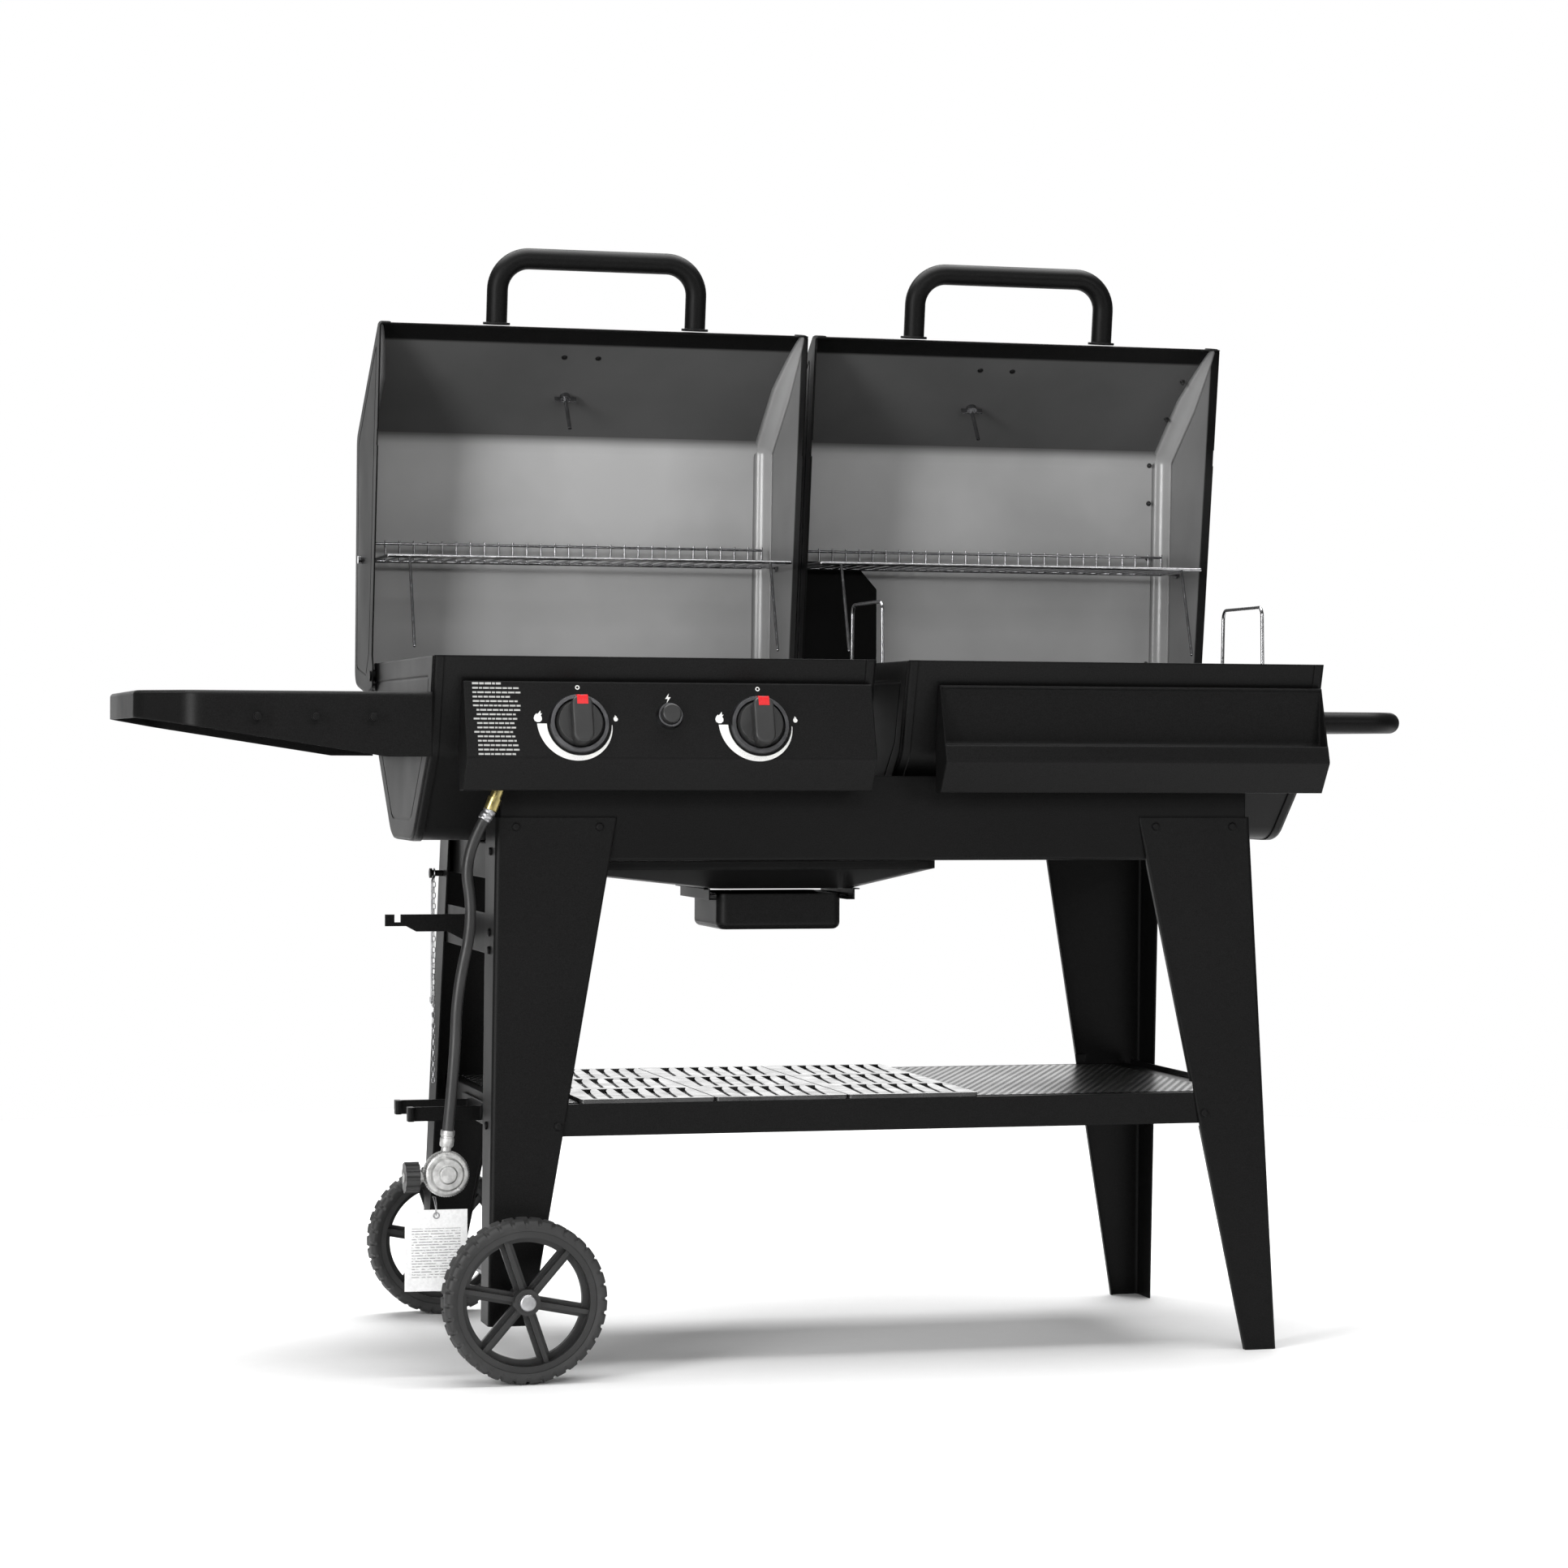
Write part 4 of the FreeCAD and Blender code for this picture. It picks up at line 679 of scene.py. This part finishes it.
def ringStrip(cx, cy, inner, outer, start, stop, steps=48):
    # Outline between two arcs whose radii run from the first to the last value given.
    t = np.radians(np.linspace(start, stop, steps))
    ri = np.linspace(inner[0], inner[1], steps)
    ro = np.linspace(outer[0], outer[1], steps)
    a = np.stack([cx + ri * np.cos(t), cy + ri * np.sin(t)], axis=-1)
    b = np.stack([cx + ro * np.cos(t), cy + ro * np.sin(t)], axis=-1)
    return a, b


def stripPart(a, b, place, low, high):
    # A ribbon between two rows of points, as a closed thin box.
    n = len(a)
    rows = [place(p[:, 0], p[:, 1], np.full(n, h)) for h in (low, high) for p in (a, b)]
    k = np.arange(n - 1)
    faces = []
    for first, second in ((0, 1), (1, 3), (3, 2), (2, 0)):
        faces += np.stack([first * n + k, first * n + k + 1, second * n + k + 1,
                           second * n + k], axis=-1).tolist()
    faces += [[0, n, 3 * n, 2 * n], [n - 1, 2 * n - 1, 4 * n - 1, 3 * n - 1]]
    return np.vstack(rows), faces


flameOutline = np.array([(0, -1), (0.42, -0.88), (0.66, -0.5), (0.6, -0.1), (0.35, 0.2),
                         (0.5, 0.62), (0.28, 0.45), (0.12, 0.98), (-0.06, 0.55), (-0.3, 0.2),
                         (-0.36, 0.42), (-0.6, 0.0), (-0.66, -0.5), (-0.42, -0.88)])
boltOutline = np.array([(0.25, 1), (-0.55, -0.12), (-0.02, -0.12), (-0.3, -1), (0.6, 0.22),
                        (0.06, 0.22)])


def makePanelMarks(look):
    place = onPanel(look)
    low, high = look["lift"], look["lift"] + look["thick"]
    parts = []
    for cx in look["knobXs"]:
        a, b = ringStrip(cx, look["offMarkV"], (0.0016, 0.0016), (0.0028, 0.0028), 0, 360, 25)
        parts.append(stripPart(a, b, place, low, high))
        a, b = ringStrip(cx, 0, (look["dialInner"],) * 2, (look["dialOuter"], look["dialEnd"]),
                         180, 358)
        parts.append(stripPart(a, b, place, low, high))
        for outline, size, u, v, turn in ((flameOutline, 0.0078, -0.0505, 0.0095, -0.25),
                                          (flameOutline, 0.0042, 0.0455, 0.0075, 0.2)):
            c, s = math.cos(turn), math.sin(turn)
            spot = outline * size
            spot = np.stack([cx + u + spot[:, 0] * c - spot[:, 1] * s,
                             v + spot[:, 0] * s + spot[:, 1] * c], axis=-1)
            parts.append(slab(spot, place, low, high))
    boltMiddle = np.array([look["igniterX"] - 0.001, look["boltV"]])
    parts.append(slab(boltOutline * look["boltSize"] + boltMiddle, place, low, high))
    addPiece("panelMarks", parts, whiteInk, "cart")
    draws = np.random.default_rng(look["seed"])
    lines, v = [], look["lineTop"]
    for row in range(look["lines"]):
        indent = 0.0 if row in look["fullLines"] else look["indent"]
        u = look["lineLeft"] + indent
        stop = u + draws.uniform(0.045, 0.06) - indent if row else u + 0.036
        height = 0.0021 if row else 0.0026
        while u < stop:
            length = draws.uniform(0.003, 0.008)
            box = np.array([(u, v), (u + length, v), (u + length, v + height), (u, v + height)])
            lines.append(slab(box, place, low, high))
            u += length + look["wordGap"]
        v -= look["linePitch"]
    addPiece("panelLines", lines, textInk, "cart")


def makeKnobMarks(look):
    # A red insert on each grip's top end: flat on the face, then rolling over the edge.
    place = onPanel(look)
    for side, cx in zip(("left", "right"), look["knobXs"]):
        u = np.linspace(-0.0068, 0.0068, 9)
        path = np.array([(0.0175, 0.02735), (0.0225, 0.02735), (0.0262, 0.02735),
                         (0.0285, 0.0268), (0.0298, 0.0252), (0.03035, 0.0225),
                         (0.03035, 0.0185)])
        inner = path - np.array([(0, 0.0009)] * 3 + [(0.0006, 0.0007)] * 2 + [(0.0009, 0)] * 2)
        loop = np.vstack([path, inner[::-1]])
        rows = [place(np.full(len(loop), cx + x), loop[:, 0], loop[:, 1]) for x in u]
        n = len(loop)
        faces = [list(f) for f in gridFaces(len(u), n)]
        faces += [list(range(n))[::-1], list(range((len(u) - 1) * n, len(u) * n))]
        addPiece("knobMark_" + side, [(np.vstack(rows), faces)], redInk, side + "_knob")


makePanelMarks(panelLook)
makeKnobMarks(panelLook)
print("marks made")


# Perforated skin of the bottom shelf

shelfLook = {"left": -0.379, "right": 0.563, "front": -0.2385, "back": 0.196, "z": 0.3297,
             "thick": 0.0008, "pitch": 0.0115, "hole": 0.0034}


def makePerforatedShelf(look):
    # Square cells in staggered rows, each with an eight-sided hole: every cell's border points
    # join its hole's points, and a short wall drops from each hole.
    pitch, half = look["pitch"], look["pitch"] / 2
    columns = int((look["right"] - look["left"]) / pitch) - 1
    rows = int((look["back"] - look["front"]) / pitch)
    angle = np.arange(8) * np.pi / 4
    rim = np.stack([np.cos(angle), np.sin(angle)], axis=-1)
    border = half * np.sign(np.round(rim, 6))
    hole = look["hole"] * rim
    r, c = np.meshgrid(np.arange(rows), np.arange(columns), indexing="ij")
    cx = look["left"] + half + pitch * c + half * (r % 2)
    cy = look["front"] + half + pitch * r
    centres = np.stack([cx, cy], axis=-1).reshape(-1, 1, 2)
    top, low = look["z"] + look["thick"], look["z"]
    layers = []
    for ringPoints, z in ((border, top), (hole, top), (hole, low), (border, low)):
        flat = centres + ringPoints[None]
        layers.append(np.concatenate([flat, np.full(flat.shape[:2] + (1,), z)], axis=-1))
    points = np.stack(layers, axis=1).reshape(-1, 3)
    k = np.arange(8)
    n = (k + 1) % 8
    cell = np.vstack([np.stack([a + k, a + n, a + 8 + n, a + 8 + k], axis=-1)
                      for a in (0, 8, 16)])
    faces = (np.arange(len(centres))[:, None, None] * 32 + cell[None]).reshape(-1, 4)
    shelfPaint = powderPaint("shelfPaint", {**paintLook, "specular": 0.7, "roughLow": 0.28,
                                            "roughHigh": 0.36})
    addPiece("perforatedShelf", [(points, faces)], shelfPaint, "cart")


makePerforatedShelf(shelfLook)
print("shelf skin made")


# Rivets and screw tips inside the lids

def dome(centre, direction, radius, height):
    profile = [(0, 0), (0, radius), (height * 0.45, radius * 0.92), (height * 0.8, radius * 0.6),
               (height, 0)]
    return turned(profile, centre, direction, 16)


rivetLook = {"radius": 0.0042, "height": 0.0028, "apart": 0.046, "offset": -0.003,
             "spot": (0.132, 1.288), "normal": (0, -0.5935, -0.8048)}


def makeRivets(look):
    # Two domes above each thermometer on the inside of the lid's leaning front panel.
    for side in ("left", "right"):
        low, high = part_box("thermometer_" + side)
        middle = (low.x + high.x) / 2
        parts = []
        for step in (-0.5, 0.5):
            centre = np.array([middle + look["offset"] + step * look["apart"], *look["spot"]])
            parts.append(dome(centre, look["normal"], look["radius"], look["height"]))
        addPiece("lidRivets_" + side, parts, paint, "lid_" + side)


makeRivets(rivetLook)
print("rivets made")


# Rounded corners where the lids' wrapped sheet meets their ends

linerLook = {"radius": 0.022, "skin": 0.0031, "steps": 10, "openAngle": 82,
             "hinge": (0.19767, 0.863),
             "path": ((-0.27233, 0.881, 0.004), (-0.10933, 1.047, 0.026),
                      (0.22867, 1.011, 0.024), (0.22867, 0.892, 0.0))}


def roundedPath(corners, step=0.006, arcPoints=9):
    # Straight runs with each corner replaced by its tangent arc, as points and unit headings.
    corners = [(np.array(c[:2]), c[2]) for c in corners]
    points = [corners[0][0]]
    for (before, _), (here, radius), (after, _) in zip(corners, corners[1:], corners[2:]):
        a = (before - here) / np.linalg.norm(before - here)
        b = (after - here) / np.linalg.norm(after - here)
        half = np.arccos(np.dot(a, b)) / 2
        centre = here + (a + b) / np.linalg.norm(a + b) * radius / np.sin(half)
        first, last = here + a * radius / np.tan(half), here + b * radius / np.tan(half)
        t = np.linspace(0, 1, arcPoints)[:, None]
        arc = first + (last - first) * t - centre
        points += list(centre + radius * arc / np.linalg.norm(arc, axis=1)[:, None])
    points.append(corners[-1][0])
    points = np.array(points)
    gaps = np.linalg.norm(np.diff(points, axis=0), axis=1)
    along = np.concatenate([[0], np.cumsum(gaps)])
    at = np.linspace(0, along[-1], int(along[-1] / step))
    path = np.stack([np.interp(at, along, points[:, i]) for i in (0, 1)], axis=-1)
    heading = np.gradient(path, axis=0)
    return path, heading / np.linalg.norm(heading, axis=1)[:, None], at / along[-1]


def openLid(y, z, look):
    # Turns a point of the closed lid about the hinge line to where it lies on the open lid.
    turn = math.radians(look["openAngle"])
    dy, dz = y - look["hinge"][0], z - look["hinge"][1]
    return (look["hinge"][0] + dy * math.cos(turn) + dz * math.sin(turn),
            look["hinge"][1] - dy * math.sin(turn) + dz * math.cos(turn))


def linerPart(wallX, side, look):
    # Section of a quarter circle hollowed out of the corner between sheet and end wall, carried
    # along the lid's profile; its radius grows from a few millimetres at the rim.
    path, heading, share = roundedPath(look["path"])
    inward = np.stack([heading[:, 1], -heading[:, 0]], axis=-1)
    grow = 0.2 + 0.8 * np.clip(share / 0.16, 0, 1) ** 0.7
    radius = look["radius"] * grow
    a = np.linspace(0, np.pi / 2, look["steps"])
    across = np.concatenate([1 - np.sin(a), [0.0]])
    down = np.concatenate([1 - np.cos(a), [0.0]])
    x = wallX + side * (0.0001 + radius[:, None] * across[None, :])
    depth = look["skin"] + radius[:, None] * down[None, :]
    y = path[:, 0:1] + inward[:, 0:1] * depth
    z = path[:, 1:2] + inward[:, 1:2] * depth
    openY, openZ = openLid(y, z, look)
    points = np.stack([np.broadcast_to(x, openY.shape), openY, openZ], axis=-1)
    columns = len(across)
    faces = [list(f) for f in gridFaces(len(path), columns)]
    last = (len(path) - 1) * columns
    faces += [list(range(columns))[::-1], list(range(last, last + columns))]
    return points.reshape(-1, 3), faces


def makeLiners(look):
    for side in ("left", "right"):
        low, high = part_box("lid_" + side + "_shell")
        parts = [linerPart(low.x, 1, look), linerPart(high.x, -1, look)]
        addPiece("lidLiner_" + side, parts, linerPaint, "lid_" + side, 50)


tipLook = {"shares": (0.10, 0.21, 0.36, 0.44, 0.55, 0.78), "fromWall": 0.0265, "radius": 0.0022,
           "length": 0.0075}


def makeScrewTips(look, lid):
    # Pointed screw tips standing inside the right lid beside its rounded corner.
    path, heading, share = roundedPath(lid["path"])
    low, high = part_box("lid_right_shell")
    parts = []
    for wanted in look["shares"]:
        i = int(np.argmin(np.abs(share - wanted)))
        inward = np.array([heading[i, 1], -heading[i, 0]])
        base = path[i] + inward * 0.003
        tip = base + inward * look["length"]
        start, end = openLid(*base, lid), openLid(*tip, lid)
        spot = np.array([high.x - look["fromWall"], *start])
        direction = np.array([0, end[0] - start[0], end[1] - start[1]])
        r = look["radius"]
        profile = [(0, 0), (0, r * 1.7), (0.0012, r * 1.5), (0.0014, r), (0.0045, r),
                   (look["length"], 0)]
        parts.append(turned(profile, spot, direction, 12))
    addPiece("lidScrewTips", parts, plastic, "lid_right")


makeLiners(linerLook)
makeScrewTips(tipLook, linerLook)
print("lid liners made")


# Crimp sleeve on the hose's upper end

def makeCrimp(route, radius, sides=28):
    start, after = np.array(route[0]), np.array(route[1])
    profile = [(0.0002, radius), (0.0002, radius + 0.0009), (0.003, radius + 0.0013),
               (0.004, radius + 0.0006), (0.006, radius + 0.0006), (0.007, radius + 0.0013),
               (0.010, radius + 0.0013), (0.011, radius + 0.0006), (0.013, radius + 0.0012),
               (0.0145, radius + 0.0008), (0.0150, radius)]
    points, faces = turned(profile, start, after - start, sides)
    last = (len(profile) - 1) * sides
    c = np.arange(sides)
    closing = np.stack([last + c, last + (c + 1) % sides, (c + 1) % sides, c], axis=-1)
    addPiece("hoseCrimp", [(points, np.vstack([faces, closing]))], zinc, "cart")


makeCrimp(hoseRoute, hoseLook["radius"])
print("crimp made")


# Stage and light

stageLook = {"floor": 0.86, "backdrop": 1.0, "ambient": 0.10, "radius": 3.2}


def makeStage(look):
    # A round pale floor under a pale surround. The surround lights the object only softly.
    t = np.linspace(0, 2 * np.pi, 96, endpoint=False)
    points = look["radius"] * np.stack([np.cos(t), np.sin(t), np.zeros_like(t)], axis=-1)
    mesh = bpy.data.meshes.new("floor")
    mesh.from_pydata(points.tolist(), [], [list(range(len(t)))])
    floor = bpy.data.objects.new("floor", mesh)
    scene.collection.objects.link(floor)
    material, shader = newMaterial("floorPaper")
    fibres = spread(material, noise(material, 40, 4), 0.3, 0.7, 0, 1)
    tone = look["floor"]
    connect(material, mixColours(material, fibres, grey(tone * 0.985), grey(tone)), shader,
            "Base Color")
    shader.inputs["Roughness"].default_value = 0.9
    mesh.materials.append(material)
    world = bpy.data.worlds.new("studio")
    world.use_nodes = True
    tree = world.node_tree
    rays = tree.nodes.new("ShaderNodeLightPath")
    level = tree.nodes.new("ShaderNodeMapRange")
    level.inputs["To Min"].default_value = look["ambient"]
    level.inputs["To Max"].default_value = look["backdrop"]
    tree.links.new(rays.outputs["Is Camera Ray"], level.inputs["Value"])
    tree.nodes["Background"].inputs["Color"].default_value = grey(1.0)
    tree.links.new(level.outputs["Result"], tree.nodes["Background"].inputs["Strength"])
    scene.world = world
    scene.view_settings.view_transform = "Standard"


lightLook = {
    "keyLeft": {"at": (-2.9, -2.4, 1.3), "aim": (0, 0.1, 0.9), "size": (0.9, 2.4),
                "power": 100},
    "lidFill": {"at": (-0.4, -4.6, 2.7), "aim": (0, 0.3, 1.1), "size": (2.4, 0.8), "power": 52},
    "frontRight": {"at": (2.6, -4.4, 1.9), "aim": (0, 0.2, 1.1), "size": (1.6, 1.4),
                   "power": 30},
    "overhead": {"at": (0.0, 0.7, 4.2), "aim": (0, 0.4, 0), "size": (5.0, 4.0), "power": 420},
    "behind": {"at": (0.9, 5.0, 1.6), "aim": (0, 0, 0.7), "size": (6.0, 3.2), "power": 105}}


def makeLights(look):
    for name, light in look.items():
        data = bpy.data.lights.new(name, "AREA")
        data.shape = "RECTANGLE"
        data.size, data.size_y = light["size"]
        data.energy = light["power"]
        lamp = bpy.data.objects.new(name, data)
        scene.collection.objects.link(lamp)
        lamp.visible_camera = False
        direction = Vector(light["aim"]) - Vector(light["at"])
        lamp.matrix_world = (Matrix.Translation(light["at"])
                             @ direction.to_track_quat("-Z", "Y").to_matrix().to_4x4())


makeStage(stageLook)
makeLights(lightLook)
print("stage and lights made")
